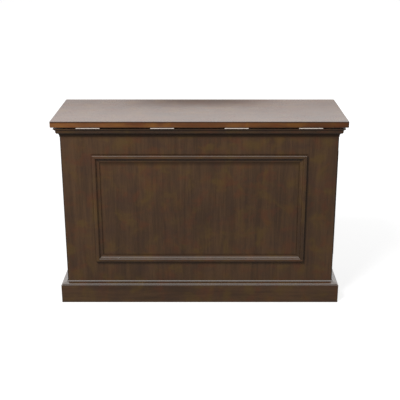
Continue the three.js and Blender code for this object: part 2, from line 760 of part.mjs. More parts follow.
// The outer column has a guide ring inside its head and a cut-out at the rear for the motor boss.
function outerColumn() {
  const radius = COLUMN_CORNER_RADIUS;
  const tube = rectangularTube(COLUMN_WIDTH, COLUMN_DEPTH, COLUMN_WALL, columnFoot, outerTop, radius);
  const ringWall = COLUMN_WALL / 2 + COLUMN_NEST_GAP - RUNNING_GAP;
  const guide = rectangularTube(
    COLUMN_WIDTH - COLUMN_WALL,
    COLUMN_DEPTH - COLUMN_WALL,
    ringWall,
    outerTop - GUIDE_HEIGHT,
    outerTop,
    radius,
  );
  const rearWall = -COLUMN_DEPTH / 2;
  const cutout = block(
    centred(BOSS_WIDTH + 2 * CUTOUT_GAP),
    [rearWall - OVERRUN, rearWall + COLUMN_WALL + OVERRUN],
    [columnFoot - OVERRUN, bearingTop + CUTOUT_GAP],
  );
  return cut(join(tube, guide), cutout);
}

// A sliding column, with a guide ring round its foot.
function slidingTube(width, depth, foot, top) {
  const radius = COLUMN_CORNER_RADIUS - COLUMN_WALL;
  const tube = rectangularTube(width, depth, COLUMN_WALL, foot, top, radius);
  const reach = 2 * (COLUMN_NEST_GAP - RUNNING_GAP);
  const ringWall = COLUMN_NEST_GAP - RUNNING_GAP + COLUMN_WALL / 2;
  const ring = rectangularTube(width + reach, depth + reach, ringWall, foot, foot + GUIDE_HEIGHT, radius);
  return join(tube, ring);
}

// The middle column also guides the inner one at its head.
function middleColumn() {
  const radius = COLUMN_CORNER_RADIUS - COLUMN_WALL;
  const ringWall = COLUMN_WALL / 2 + COLUMN_NEST_GAP - RUNNING_GAP;
  const guide = rectangularTube(
    middleWidth - COLUMN_WALL,
    middleDepth - COLUMN_WALL,
    ringWall,
    middleTop - GUIDE_HEIGHT,
    middleTop,
    radius,
  );
  return join(slidingTube(middleWidth, middleDepth, middleFoot, middleTop), guide);
}

// A nut fills the foot of its column and has the bore of its screw.
function screwNut(columnWidth, columnDepth, top, screwRadius) {
  const width = columnWidth - 2 * (COLUMN_WALL + GLUE_GAP);
  const depth = columnDepth - 2 * (COLUMN_WALL + GLUE_GAP);
  const bottom = top - NUT_HEIGHT;
  const radius = COLUMN_CORNER_RADIUS - COLUMN_WALL;
  const body = roundedBlock(width, depth, bottom, top, radius);
  const bore = uprightCylinder(screwRadius + SCREW_NUT_GAP, bottom - OVERRUN, top + OVERRUN, ROUND_STEPS);
  return cut(body, bore);
}

function lowerScrew() {
  const foot = bearingTop + GLUE_GAP;
  return revolve([
    [0, foot],
    [LOWER_SCREW_RADIUS, foot],
    [LOWER_SCREW_RADIUS, lowerScrewTop - SCREW_CHAMFER],
    [LOWER_SCREW_RADIUS - SCREW_CHAMFER, lowerScrewTop],
    [0, lowerScrewTop],
  ]);
}

// A hollow screw round the lower one. Its flange runs on top of the lower nut.
function upperScrew() {
  const bore = LOWER_SCREW_RADIUS + SCREW_NEST_GAP;
  const flangeTop = upperScrewFoot + SCREW_FLANGE_THICKNESS;
  return revolve([
    [bore, upperScrewFoot],
    [SCREW_FLANGE_RADIUS, upperScrewFoot],
    [SCREW_FLANGE_RADIUS, flangeTop],
    [UPPER_SCREW_RADIUS, flangeTop],
    [UPPER_SCREW_RADIUS, upperScrewTop],
    [bore, upperScrewTop],
    [bore, upperScrewFoot],
  ]);
}

// Drawn about the column's axis: the gearbox stands behind the column, with the motor upright on it,
// and its boss reaches in below the screws.
function gearMotor() {
  const front = -COLUMN_DEPTH / 2 - GEARBOX_COLUMN_GAP;
  const middle = front - GEARBOX_DEPTH / 2;
  const gearboxTop = columnFoot + GEARBOX_HEIGHT;
  const motorTop = gearboxTop + MOTOR_LENGTH;
  const bossTop = columnFoot + BOSS_HEIGHT;
  const radius = GEARBOX_CORNER_RADIUS;
  const gearbox = roundedBlock(GEARBOX_WIDTH, GEARBOX_DEPTH, columnFoot, gearboxTop, radius);
  const motor = uprightCylinder(MOTOR_RADIUS, gearboxTop - OVERRUN, motorTop, ROUND_STEPS);
  const capEnd = motorTop + MOTOR_CAP_LENGTH;
  const cap = uprightCylinder(MOTOR_CAP_RADIUS, motorTop - OVERRUN, capEnd, ROUND_STEPS);
  const boss = block(centred(BOSS_WIDTH), [middle, BOSS_FRONT_REACH], [columnFoot, bossTop]);
  const bearing = uprightCylinder(BEARING_RADIUS, bossTop - OVERRUN, bearingTop, ROUND_STEPS);
  const behind = [gearbox, motor, cap].map((piece) => piece.translate(0, middle, 0));
  return join(...behind, boss, bearing);
}

// An L-shaped bracket: a plate on the inner column and a plate down in front of the outer one,
// stiffened by a triangular cheek at each end.
function headBracket() {
  const rear = -innerDepth / 2;
  const faceRear = headRear - columnLine;
  const faceFront = faceRear + HEAD_THICKNESS;
  const topPlate = block(centred(HEAD_WIDTH), [rear, faceFront], [headBottom, headTop]);
  const facePlate = block(centred(HEAD_WIDTH), [faceRear, faceFront], [headTop - HEAD_DROP, headTop]);
  const cheekShape = new THREE.Shape();
  cheekShape.moveTo(rear, headTop);
  cheekShape.lineTo(rear, headBottom);
  cheekShape.lineTo(faceRear, headBottom - CHEEK_DROP);
  cheekShape.lineTo(faceFront, headBottom - CHEEK_DROP);
  cheekShape.lineTo(faceFront, headTop);
  const half = HEAD_WIDTH / 2;
  const cheeks = [
    runAlongX(cheekShape, -half, -half + CHEEK_THICKNESS),
    runAlongX(cheekShape, half - CHEEK_THICKNESS, half),
  ];
  return join(topPlate, facePlate, ...cheeks);
}

// A channel open to the front, on the face of the head bracket.
function tvCrossbar() {
  const profile = new THREE.Shape();
  const rear = crossbarRear;
  const front = crossbarRear + CROSSBAR_DEPTH;
  const bottom = crossbarMiddle - CROSSBAR_HEIGHT / 2;
  profile.moveTo(rear, bottom);
  profile.lineTo(front, bottom);
  profile.lineTo(front, bottom + CROSSBAR_WALL);
  profile.lineTo(rear + CROSSBAR_WALL, bottom + CROSSBAR_WALL);
  profile.lineTo(rear + CROSSBAR_WALL, crossbarTop - CROSSBAR_WALL);
  profile.lineTo(front, crossbarTop - CROSSBAR_WALL);
  profile.lineTo(front, crossbarTop);
  profile.lineTo(rear, crossbarTop);
  return runAlongX(profile, -CROSSBAR_LENGTH / 2, CROSSBAR_LENGTH / 2);
}

// An upright channel whose slotted web faces the television.
function tvArm() {
  const profile = new THREE.Shape();
  const half = ARM_WIDTH / 2;
  const webRear = ARM_DEPTH - ARM_WALL;
  profile.moveTo(-half, 0);
  profile.lineTo(-half + ARM_WALL, 0);
  profile.lineTo(-half + ARM_WALL, webRear);
  profile.lineTo(half - ARM_WALL, webRear);
  profile.lineTo(half - ARM_WALL, 0);
  profile.lineTo(half, 0);
  profile.lineTo(half, ARM_DEPTH);
  profile.lineTo(-half, ARM_DEPTH);
  const channel = raise(profile, -ARM_LENGTH / 2, ARM_LENGTH / 2);
  const outline = roundedRectangle(new THREE.Shape(), ARM_SLOT_WIDTH, ARM_SLOT_LENGTH, ARM_SLOT_WIDTH / 2);
  const pitch = (ARM_LENGTH - 2 * ARM_END_MARGIN) / ARM_SLOT_COUNT;
  const slots = Array.from({ length: ARM_SLOT_COUNT }, (_, i) => {
    const height = (i - (ARM_SLOT_COUNT - 1) / 2) * pitch;
    const slot = raise(outline, -ARM_DEPTH - OVERRUN, -webRear + OVERRUN);
    return slot.rotateX(QUARTER_TURN).translate(0, 0, height);
  });
  return cut(channel, ...slots);
}

// Two posts on the crossbar carry a bar, with an axle stub for a roller at each end.
function lidPusher() {
  const foot = crossbarTop + GLUE_GAP;
  const depth = [crossbarRear, crossbarRear + CROSSBAR_DEPTH];
  const axis = (depth[0] + depth[1]) / 2;
  const half = PUSHER_BAR_LENGTH / 2;
  const axleEnd = half + ROLLER_WIDTH + 2 * ROLLER_SIDE_GAP;
  const headEnd = axleEnd + AXLE_HEAD_THICKNESS;
  const bar = block(centred(PUSHER_BAR_LENGTH), depth, centred(PUSHER_BAR_HEIGHT, rollerHeight));
  const posts = [-1, 1].flatMap((sign) => {
    const x = (sign * PUSHER_POST_SPACING) / 2;
    return [
      block(centred(PUSHER_POST_WIDTH, x), depth, [foot, rollerHeight]),
      block(centred(PUSHER_FOOT_WIDTH, x), depth, [foot, foot + PUSHER_FOOT_THICKNESS]),
    ];
  });
  const axles = [
    levelCylinder(AXLE_RADIUS, -headEnd, headEnd, ROUND_STEPS / 2),
    levelCylinder(AXLE_HEAD_RADIUS, -headEnd, -axleEnd, ROUND_STEPS / 2),
    levelCylinder(AXLE_HEAD_RADIUS, axleEnd, headEnd, ROUND_STEPS / 2),
  ].map((piece) => piece.translate(0, axis, rollerHeight));
  return join(bar, ...posts, ...axles);
}

// A grooveless nylon roller with chamfered edges, lying along X.
function pusherRoller() {
  const bore = AXLE_RADIUS + RUNNING_GAP;
  const half = ROLLER_WIDTH / 2;
  const shoulder = half - ROLLER_CHAMFER;
  const rim = ROLLER_RADIUS - ROLLER_CHAMFER;
  const wheel = revolve([
    [bore, -half],
    [rim, -half],
    [ROLLER_RADIUS, -shoulder],
    [ROLLER_RADIUS, shoulder],
    [rim, half],
    [bore, half],
    [bore, -half],
  ]);
  return wheel.rotateY(QUARTER_TURN);
}

function controlBox() {
  const bottom = deckTop + CONTROL_DECK_GAP;
  const radius = CONTROL_CORNER_RADIUS;
  return roundedBlock(CONTROL_WIDTH, CONTROL_DEPTH, bottom, bottom + CONTROL_HEIGHT, radius);
}

function addLift(lift) {
  const onColumn = [0, columnLine, 0];
  addMesh(lift, 'lift_base_plate', liftBasePlate(), blackSteel);
  addMesh(lift, 'outer_column', outerColumn(), blackSteel, onColumn);
  addMesh(lift, 'gear_motor', gearMotor(), blackPlastic, onColumn);
  addMesh(lift, 'middle_column', middleColumn(), silverSteel, onColumn);
  const innerColumn = slidingTube(innerWidth, innerDepth, innerFoot, innerTop);
  addMesh(lift, 'inner_column', innerColumn, silverSteel, onColumn);
  const lowerNut = screwNut(middleWidth, middleDepth, lowerNutTop, LOWER_SCREW_RADIUS);
  const upperNut = screwNut(innerWidth, innerDepth, upperNutTop, UPPER_SCREW_RADIUS);
  addMesh(lift, 'lower_nut', lowerNut, nylon, onColumn);
  addMesh(lift, 'upper_nut', upperNut, nylon, onColumn);
  addMesh(lift, 'lower_screw', lowerScrew(), silverSteel, onColumn);
  addMesh(lift, 'upper_screw', upperScrew(), silverSteel, onColumn);
  addMesh(lift, 'head_bracket', headBracket(), blackSteel, onColumn);
  addMesh(lift, 'tv_crossbar', tvCrossbar(), blackSteel);
  addMesh(lift, 'lid_pusher', lidPusher(), blackSteel);
  const rollerX = PUSHER_BAR_LENGTH / 2 + ROLLER_SIDE_GAP + ROLLER_WIDTH / 2;
  const rollerY = crossbarRear + CROSSBAR_DEPTH / 2;
  for (const [name, sign] of [['left', -1], ['right', 1]]) {
    const armPlace = [(sign * ARM_SPACING) / 2, armRear, crossbarMiddle];
    addMesh(lift, `tv_arm_${name}`, tvArm(), blackSteel, armPlace);
    addMesh(lift, `pusher_roller_${name}`, pusherRoller(), nylon, [sign * rollerX, rollerY, rollerHeight]);
  }
  const controlX = -CASE_WIDTH / 2 + PANEL_THICKNESS + CONTROL_END_INSET + CONTROL_WIDTH / 2;
  const controlY = rearInside + GLUE_GAP + CONTROL_DEPTH / 2;
  addMesh(lift, 'control_box', controlBox(), blackPlastic, [controlX, controlY, 0]);
}

const product = new THREE.Group();
const cabinet = addGroup(product);
const lid = addGroup(product);
const lift = addGroup(product);
addCase(cabinet);
addLidAndHinges(cabinet, lid);
addLift(lift);

export default product;
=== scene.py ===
"""Looks of a TV lift cabinet: stained wood, butt hinges and a two-stage lift, in metres."""

import json
import math

import bmesh
import bpy
from mathutils import Matrix, Vector


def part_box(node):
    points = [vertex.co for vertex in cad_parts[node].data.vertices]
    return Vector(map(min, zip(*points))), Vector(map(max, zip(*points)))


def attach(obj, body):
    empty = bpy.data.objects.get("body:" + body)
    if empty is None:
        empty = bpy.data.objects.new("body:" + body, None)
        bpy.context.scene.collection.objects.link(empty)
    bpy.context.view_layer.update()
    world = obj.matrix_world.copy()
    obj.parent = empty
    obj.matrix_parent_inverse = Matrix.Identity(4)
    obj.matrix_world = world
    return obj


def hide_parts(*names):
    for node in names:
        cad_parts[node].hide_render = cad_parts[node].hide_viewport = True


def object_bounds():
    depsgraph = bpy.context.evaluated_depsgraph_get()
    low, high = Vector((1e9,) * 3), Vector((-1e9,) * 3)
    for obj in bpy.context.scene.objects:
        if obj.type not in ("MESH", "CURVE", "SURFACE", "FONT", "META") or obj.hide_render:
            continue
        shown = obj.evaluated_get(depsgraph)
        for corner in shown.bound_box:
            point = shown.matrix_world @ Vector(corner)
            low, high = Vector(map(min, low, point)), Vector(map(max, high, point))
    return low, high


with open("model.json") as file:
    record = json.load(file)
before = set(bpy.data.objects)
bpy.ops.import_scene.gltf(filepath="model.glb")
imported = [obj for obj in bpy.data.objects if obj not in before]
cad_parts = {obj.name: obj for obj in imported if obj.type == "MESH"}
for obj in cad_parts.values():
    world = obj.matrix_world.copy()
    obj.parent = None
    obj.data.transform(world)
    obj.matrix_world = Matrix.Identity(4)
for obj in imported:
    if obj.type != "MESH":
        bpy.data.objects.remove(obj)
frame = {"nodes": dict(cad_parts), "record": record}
CAD_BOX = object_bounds()
CASE_CORNER = (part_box("right_panel")[1][0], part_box("front_panel")[1][1])
CROWN_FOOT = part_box("rear_crown")[0][2]
FRAME_LOW, FRAME_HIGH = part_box("rear_frame_top")
FRAME_WIDTH = FRAME_HIGH[2] - FRAME_LOW[2]
FRAME_MIDDLE = (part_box("rear_frame_bottom")[0][2] + FRAME_HIGH[2]) / 2
FRAME_HALF_HEIGHT = FRAME_HIGH[2] - FRAME_MIDDLE
FRAME_REACH = (FRAME_HIGH[0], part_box("left_frame")[1][1])
BODIES = frame["record"]["behaviour"]["bodies"]
BODY_OF = {node: body for body, nodes in BODIES.items() for node in nodes}

bl_info = {
    "name": "TV lift cabinet",
    "version": (1, 0, 0),
    "blender": (4, 5, 0),
    "location": "3D View > Sidebar > Cabinet",
    "description": "Builds the wood, hinges and lift of a cabinet round its packed frame",
    "category": "Object",
}

X_AXIS, Y_AXIS, Z_AXIS = 0, 1, 2
UP, DOWN = (0, 0, 1), (0, 0, -1)
TO_FRONT, TO_REAR = (0, 1, 0), (0, -1, 0)
# The sides of the case, and the way that the boards on each of them run
SIDES = {"rear": "x", "right": "y", "front": "x", "left": "y"}
PANEL_WOODS = {"x": "long_panel_wood", "y": "short_panel_wood"}
# Attributes that the finishes read
EASED = "eased"
LEDGE = "ledge"
# The wood paints shade where hollow marks a crease or a moulding's foot, and under faces whose
# ledge value is below nought
HOLLOW = "hollow"

MERGE_DISTANCE = 1e-5
FLAT_ANGLE = math.radians(0.6)
CREASE_ANGLE = math.radians(34)
HOLLOW_ANGLE = math.radians(-14)
LEVEL = 0.99
FOOT_LINE = 0.0008

HINGES = (1, 2, 3, 4)
HINGE_SCREW = {"radius": 0.0036, "height": 0.00055}
HINGE_SCREW_LINE = -0.2034
HINGE_SCREW_SPACING = 0.034
LEAF_THICKNESS = 0.002
LEAF_MERGE = 4e-5
LEAF_EDGE = 0.00008
LEAF_CREASE = math.radians(50)
BUMPER_EDGE = 0.0006

KEY_LIGHT = {"place": (-1.7, -2.9, 3.9), "size": 1.6}
FILL_LIGHT = {"place": (2.6, 3.6, 2.6), "size": 2.2}
LIGHT_AIM = (0, 0, 0.45)
FLOOR_COLOUR = (0.28, 0.28, 0.28, 1)
FLOOR_GLOW, FLOOR_FAR_GLOW = 0.8, 0.19
FLOOR_FADE = (1.0, 4.5)
FLOOR_RADIUS = 14.0
FLOOR_HEIGHT = -0.0006


def stain(red, green, blue, alpha=True):
    """A colour as it is read off a screen, made linear."""
    channels = [value / 255 for value in (red, green, blue)]
    linear = [c / 12.92 if c <= 0.04045 else ((c + 0.055) / 1.055) ** 2.4 for c in channels]
    return (*linear, 1.0) if alpha else tuple(linear)


# Nodes


class Link:
    """An output of a shader node. Python's own signs on it add Math nodes."""

    def __init__(self, board, socket):
        self.board = board
        self.socket = socket

    def maths(self, operation, first, second=0.0):
        return self.board.node("Math", {"operation": operation}, {0: first, 1: second})

    def larger(self, other):
        return self.maths("MAXIMUM", self, other)

    def __abs__(self):
        return self.maths("ABSOLUTE", self)

    def __add__(self, other):
        return self.maths("ADD", self, other)

    def __sub__(self, other):
        return self.maths("SUBTRACT", self, other)

    def __mul__(self, other):
        return self.maths("MULTIPLY", self, other)

    def __rsub__(self, other):
        return self.maths("SUBTRACT", other, self)

    __radd__ = __add__
    __rmul__ = __mul__


class Board:
    """The nodes of one material or of the world."""

    def __init__(self, tree):
        tree.nodes.clear()
        self.tree = tree

    def node(self, kind, settings=None, sockets=None, output=0):
        made = self.tree.nodes.new("ShaderNode" + kind)
        for name, value in (settings or {}).items():
            if name == "stops":
                self.set_stops(made.color_ramp.elements, value)
            else:
                setattr(made, name, value)
        for key, value in (sockets or {}).items():
            if isinstance(value, Link):
                self.tree.links.new(value.socket, made.inputs[key])
            else:
                made.inputs[key].default_value = value
        return Link(self, made.outputs[output]) if made.outputs else None

    def set_stops(self, elements, stops):
        for index, (position, colour) in enumerate(stops):
            element = elements[index] if index < 2 else elements.new(position)
            element.position = position
            element.color = colour

    def place(self, scale=(1, 1, 1), shift=(0, 0, 0)):
        spot = self.node("TexCoord", output="Object")
        return self.node("Mapping", None, {"Vector": spot, "Location": shift, "Scale": scale})

    def along(self, axis):
        """How far a point lies along one axis of the cabinet."""
        return self.node("SeparateXYZ", None, {0: self.place()}, output=axis)

    def noise(self, place, scale, detail=3.0, roughness=0.5, warp=0.0):
        sockets = {"Vector": place, "Scale": scale, "Detail": detail, "Roughness": roughness}
        return self.node("TexNoise", None, {**sockets, "Distortion": warp})

    def ramp(self, value, low, high):
        """Nought below low, one above high, and smooth between."""
        sockets = {"Value": value, "From Min": low, "From Max": high}
        return self.node("MapRange", {"interpolation_type": "SMOOTHSTEP"}, sockets)

    def mix(self, share, first, second):
        """The colours of a Mix node are its sockets 6 and 7, and their mix its output 2."""
        return self.node("Mix", {"data_type": "RGBA"}, {0: share, 6: first, 7: second}, output=2)

    def marked(self, name):
        return self.node("Attribute", {"attribute_name": name}, output="Fac")

    def bump(self, height, strength, distance):
        sockets = {"Height": height, "Strength": strength, "Distance": distance}
        return self.node("Bump", None, sockets)

    def surface(self, **sockets):
        names = {key.replace("_", " "): value for key, value in sockets.items()}
        shader = self.node("BsdfPrincipled", None, names)
        self.node("OutputMaterial", None, {"Surface": shader})


def new_board(name):
    material = bpy.data.materials.new(name)
    material.use_nodes = True
    return material, Board(material.node_tree)


def wood(
    name,
    grain,
    kind="case",
    shine=0.15,
    gloss=0.3,
    shift=(0, 0, 0),
    polish=None,
    shade=None,
    coat_index=2.2,
    coat_from=(0.1, 0.65),
):
    """Stained and lacquered wood whose grain runs along one axis."""
    tones = tones_of(kind)
    material, board = new_board(name)
    stretched, fine = [1, 1, 1], [1, 1, 1]
    stretched[grain], fine[grain] = 0.07, 0.025
    plain = board.place(shift=shift)
    wander = board.noise(plain, 3.2, 2.0, 0.5)
    along = board.place(stretched, shift)
    closely = board.place(fine, shift)
    figure = board.noise(along, 26.0, 4.0, 0.55, 0.6)
    streak = board.noise(along, 120.0, 3.0, 0.6, 0.3)
    fibre = board.noise(closely, 900.0, 2.0, 0.6)
    blotch = board.noise(plain, 17.0, 3.0, 0.55, 0.4)
    other_blotch = board.noise(board.place(shift=(3.1, 1.7, 5.3)), 12.0, 3.0, 0.55, 0.4)
    pore = board.ramp(board.noise(closely, 1500.0, 1.0, 0.5), 0.6, 0.72)
    depth = figure * 0.45 + streak * 0.3 + fibre * 0.15 + wander * 0.25
    colour = board.mix(board.ramp(depth, 0.4, 0.76), tones["dark"], tones["light"])
    colour = board.mix(board.ramp(blotch, 0.48, 0.72) * 0.42, colour, tones["red"])
    colour = board.mix(board.ramp(other_blotch, 0.48, 0.7) * 0.5, colour, tones["gold"])
    colour = board.mix(board.ramp(other_blotch, 0.48, 0.3) * 0.35, colour, tones["shade"])
    colour = board.mix(pore * 0.35, colour, tones["pore"])
    upward = board.marked(LEDGE)
    # Faces that look down are painted darker: painted shade under ledges and in coves.
    colour = board.mix(board.ramp(upward, -0.05, -0.6) * 0.75, colour, tones["pore"])
    # Creases and the feet of mouldings, marked hollow, are painted darker: painted shade.
    colour = board.mix(board.marked(HOLLOW) * 0.6, colour, tones["pore"])
    matt = 0.0
    # A finish's shade function paints shade into the colour, and the painted shade is made less
    # glossy.
    if shade:
        painted_shade_share = shade(board)
        matt = 0.45 * painted_shade_share
        colour = board.mix(painted_shade_share, colour, tones["pore"])
    worn = board.marked(EASED) * board.ramp(board.noise(plain, 60.0, 4.0, 0.6), 0.42, 0.66)
    colour = board.mix(worn * 0.3, colour, tones["worn"])
    coat = board.ramp(upward, *coat_from)
    if polish:
        coat = coat * polish(board)
    height = fibre * 0.5 + streak * 0.4 - pore * 0.7
    rough = gloss + 0.08 * fibre + 0.1 * blotch - 0.04 * worn + matt
    board.surface(
        Base_Color=colour,
        Roughness=rough,
        Specular_IOR_Level=shine,
        Coat_Weight=coat,
        Coat_Roughness=0.2,
        Coat_IOR=coat_index,
        Normal=board.bump(height, 0.25, 0.00012),
    )
    return material


def lid_polish(board):
    """The lacquer on the lid is fuller towards the hinges."""
    cloudy = board.noise(board.place((0.6, 1.2, 1.0)), 5.0, 3.0, 0.5, 0.3)
    return board.ramp(board.along(Y_AXIS), 0.2, -0.24) * 0.42 + 0.14 * cloudy


def lid_top_painted_shade(board):
    """Painted shade for a dimmer reflection on the lid: deeper in the middle, away from the hinges.
    """
    middle = board.ramp(abs(board.along(X_AXIS)), 0.45, 0.08)
    return board.ramp(board.along(Y_AXIS), 0.0, 0.2) * middle * 0.6


def panel_painted_shade(axis):
    """Painted shade at the corners of the case, round the applied moulding, under its top rail and
    under the crown.
    """

    def shade(board):
        # Painted shade on the rounded corners, which turn away from the light
        corner = 0.85
        for side, reach in enumerate(CASE_CORNER):
            corner = board.ramp(abs(board.along(side)), reach - 0.0065, reach - 0.002) * corner
        height = board.along(Z_AXIS)
        outer = abs(board.along(axis)) - FRAME_REACH[axis]
        upper = abs(height - FRAME_MIDDLE) - FRAME_HALF_HEIGHT
        half = FRAME_WIDTH / 2
        # Painted contact shadow under and round the applied moulding
        band = board.ramp(abs(outer.larger(upper) + half), half + 0.006, half)
        # Painted shadow cast on the panel by the top rail of the moulding
        under = FRAME_MIDDLE + FRAME_HALF_HEIGHT - FRAME_WIDTH
        cast = board.ramp(height, under - 0.022, under - 0.004) * board.ramp(outer, -0.02, -0.03)
        cast = cast * board.ramp(height, under + 0.04, under + 0.03)
        # Painted shade on the panel under the crown
        head = board.ramp(height, CROWN_FOOT - 0.012, CROWN_FOOT - 0.001)
        return (band * 0.6).larger(cast * 0.5).larger(head * 0.35).larger(corner)

    return shade


def crown_painted_shade(board):
    """Painted shade in the hollow at the foot of the crown."""
    return board.ramp(board.along(Z_AXIS), CROWN_FOOT + 0.0155, CROWN_FOOT + 0.0115) * 0.72


def lid_edge_painted_shade(board):
    """The edge of the lid is painted darker along its upper arris and to the right: painted shade.
    """
    top = CAD_BOX[1][2]
    cloudy = board.noise(board.place((0.1, 1.0, 1.0)), 60.0, 3.0, 0.5, 0.3)
    height = board.along(Z_AXIS) + 0.004 * cloudy
    arris = board.ramp(height, top - 0.008, top + 0.0005) * 0.95
    return arris.larger(board.ramp(board.along(X_AXIS), -0.2, 0.7) * 0.3)


def toned(colour, share, lift=0.0):
    """A darker form of a colour, or a dustier one where it is lifted."""
    return (*(min(1.0, share * value + lift) for value in colour[:3]), 1.0)


def steel(name, colour, rough, brushed=None, metal=1.0):
    """Bare or plated steel with brushing, smears and brighter worn edges."""
    material, board = new_board(name)
    scale = [1, 1, 1]
    if brushed is not None:
        scale[brushed] = 0.02
    plain = board.place()
    lines = board.noise(board.place(scale), 1400.0, 2.0, 0.6)
    smear = board.noise(plain, 24.0, 4.0, 0.6, 0.8)
    fleck = board.ramp(board.noise(plain, 420.0, 3.0, 0.6), 0.6, 0.75)
    dull = toned(colour, 0.72)
    shade = board.mix(board.ramp(smear, 0.4, 0.75) * 0.35, colour, dull)
    shade = board.mix(fleck * 0.25, shade, dull)
    board.surface(
        Base_Color=shade,
        Metallic=metal,
        Roughness=rough + 0.14 * smear + 0.1 * lines - 0.08 * board.marked(EASED),
        Normal=board.bump(lines + fleck * 0.3, 0.12, 0.00008),
    )
    return material


def coated(name, colour, rough, pebble, strength, dusty):
    """Powder coat, moulded plastic, nylon or rubber: an even colour over a pebbled skin."""
    material, board = new_board(name)
    plain = board.place()
    skin = board.noise(plain, pebble, 2.0, 0.5)
    cloud = board.noise(plain, 21.0, 4.0, 0.6, 0.5)
    dust = board.ramp(board.noise(plain, 46.0, 5.0, 0.7), 0.5, 0.8)
    pale = toned(colour, 0.72, 0.045)
    deep = toned(colour, 0.7)
    shade = board.mix(board.ramp(cloud, 0.35, 0.7) * 0.5, colour, deep)
    shade = board.mix(dust * dusty, shade, pale)
    shade = board.mix(board.marked(EASED) * 0.25, shade, pale)
    board.surface(
        Base_Color=shade,
        Roughness=rough + 0.12 * cloud + 0.1 * dust,
        Specular_IOR_Level=0.45,
        Normal=board.bump(skin, strength, 0.0002),
    )
    return material


FINISHES = {}


def finish(name):
    """A finish of this cabinet, made the first time that it is asked for."""
    if name not in FINISHES:
        FINISHES[name] = MAKERS[name](name)
    return FINISHES[name]


def chosen(name):
    """A colour from the sidebar."""
    return (*getattr(bpy.context.scene.cabinet_colours, name), 1.0)


TONES = {
    "case": {
        "red": (80, 45, 28),
        "gold": (79, 60, 28),
        "shade": (52, 37, 31),
        "pore": (26, 17, 11),
        "worn": (120, 86, 54),
    },
    "lid": {
        "red": (98, 54, 35),
        "gold": (104, 74, 36),
        "shade": (70, 45, 34),
        "pore": (44, 28, 18),
        "worn": (140, 100, 64),
    },
    "edge": {
        "red": (100, 50, 27),
        "gold": (122, 82, 34),
        "shade": (74, 43, 26),
        "pore": (40, 22, 12),
        "worn": (156, 112, 70),
    },
}


def tones_of(kind):
    """The two main colours of a wood, from the sidebar, and the lesser ones beside them."""
    tones = {key: stain(*value) for key, value in TONES[kind].items()}
    return {"dark": chosen(f"{kind}_dark"), "light": chosen(f"{kind}_light"), **tones}


CAP_COAT = {"coat_index": 2.6, "coat_from": (-0.15, 0.35)}
LID_LACQUER = {"shine": 0.25, "gloss": 0.16, "coat_index": 2.0}
MAKERS = {
    "case_wood_x": lambda name: wood(name, X_AXIS),
    "case_wood_y": lambda name: wood(name, Y_AXIS),
    "case_wood_z": lambda name: wood(name, Z_AXIS),
    "cap_wood_x": lambda name: wood(name, X_AXIS, **CAP_COAT),
    "cap_wood_y": lambda name: wood(name, Y_AXIS, **CAP_COAT),
    "crown_wood_x": lambda name: wood(name, X_AXIS, shade=crown_painted_shade),
    "crown_wood_y": lambda name: wood(name, Y_AXIS, shade=crown_painted_shade),
    "long_panel_wood": lambda name: wood(name, Z_AXIS, shade=panel_painted_shade(X_AXIS)),
    "short_panel_wood": lambda name: wood(name, Z_AXIS, shade=panel_painted_shade(Y_AXIS)),
    "lid_top_wood": lambda name: wood(
        name, X_AXIS, "lid", polish=lid_polish, shade=lid_top_painted_shade, **LID_LACQUER
    ),
    "lid_edge_wood": lambda name: wood(name, X_AXIS, "edge", shade=lid_edge_painted_shade),
    "deck_wood": lambda name: wood(name, X_AXIS, shift=(2, 2, 2)),
    "hinge_steel": lambda name: steel(name, chosen("hinges"), 0.26, X_AXIS),
    "silver_steel": lambda name: steel(name, chosen("columns"), 0.28, Z_AXIS),
    "screw_steel": lambda name: steel(name, chosen("screws"), 0.2),
    "black_steel": lambda name: coated(name, chosen("coat"), 0.42, 900.0, 0.3, 0.1),
    "black_plastic": lambda name: coated(name, chosen("plastic"), 0.4, 1500.0, 0.35, 0.12),
    "nylon": lambda name: coated(name, chosen("nylon"), 0.36, 700.0, 0.12, 0.2),
    "rubber": lambda name: coated(name, chosen("rubber"), 0.66, 1100.0, 0.4, 0.3),
}


# Shapes


def merged(shape, distance):
    """Merges points that lie together, and joins faces that run on flat."""
    bmesh.ops.remove_doubles(shape, verts=shape.verts, dist=distance)
    bmesh.ops.dissolve_limit(shape, angle_limit=FLAT_ANGLE, verts=shape.verts, edges=shape.edges)
    return shape


def mesh_of(node):
    """A merged copy of a node's own mesh."""
    shape = bmesh.new()
    shape.from_mesh(frame["nodes"][node].data)
    return merged(shape, MERGE_DISTANCE)


def kept_mesh(shape, name):
    """Ends the work on a shape and keeps it as a mesh."""
    shape.normal_update()
    mesh = bpy.data.meshes.new(name)
    shape.to_mesh(mesh)
    shape.free()
    return mesh


def round_edges(shape, edges, width, segments, clamp=False):
    """Bevels edges to a round, and gives the new faces."""
    made = bmesh.ops.bevel(
        shape,
        geom=edges,
        offset=width,
        offset_type="OFFSET",
        segments=segments,
        profile=0.5,
        affect="EDGES",
        clamp_overlap=clamp,
        material=-1,
    )
    return made["faces"]


def mark_on(parts, name):
    """The attribute of a name on the points or the faces of a shape."""
    return parts.layers.float.get(name) or parts.layers.float.new(name)


def ease(shape, width, segments=2, crease=CREASE_ANGLE, clamp=True):
    """Rounds the sharp edges of a shape and marks the new faces."""
    mark = mark_on(shape.faces, EASED)
    edges = [edge for edge in shape.edges if edge.is_manifold and edge.calc_face_angle() > crease]
    for face in round_edges(shape, edges, width, segments, clamp):
        face[mark] = 1.0
    return shape


def mark_feet(shape, axis, plane):
    """Marks where a moulding stands against its panel, a line that the wood finishes darken as
    painted shade.
    """
    mark = mark_on(shape.verts, HOLLOW)
    for vert in shape.verts:
        if abs(vert.co[axis]) < plane + FOOT_LINE:
            vert[mark] = 1.0


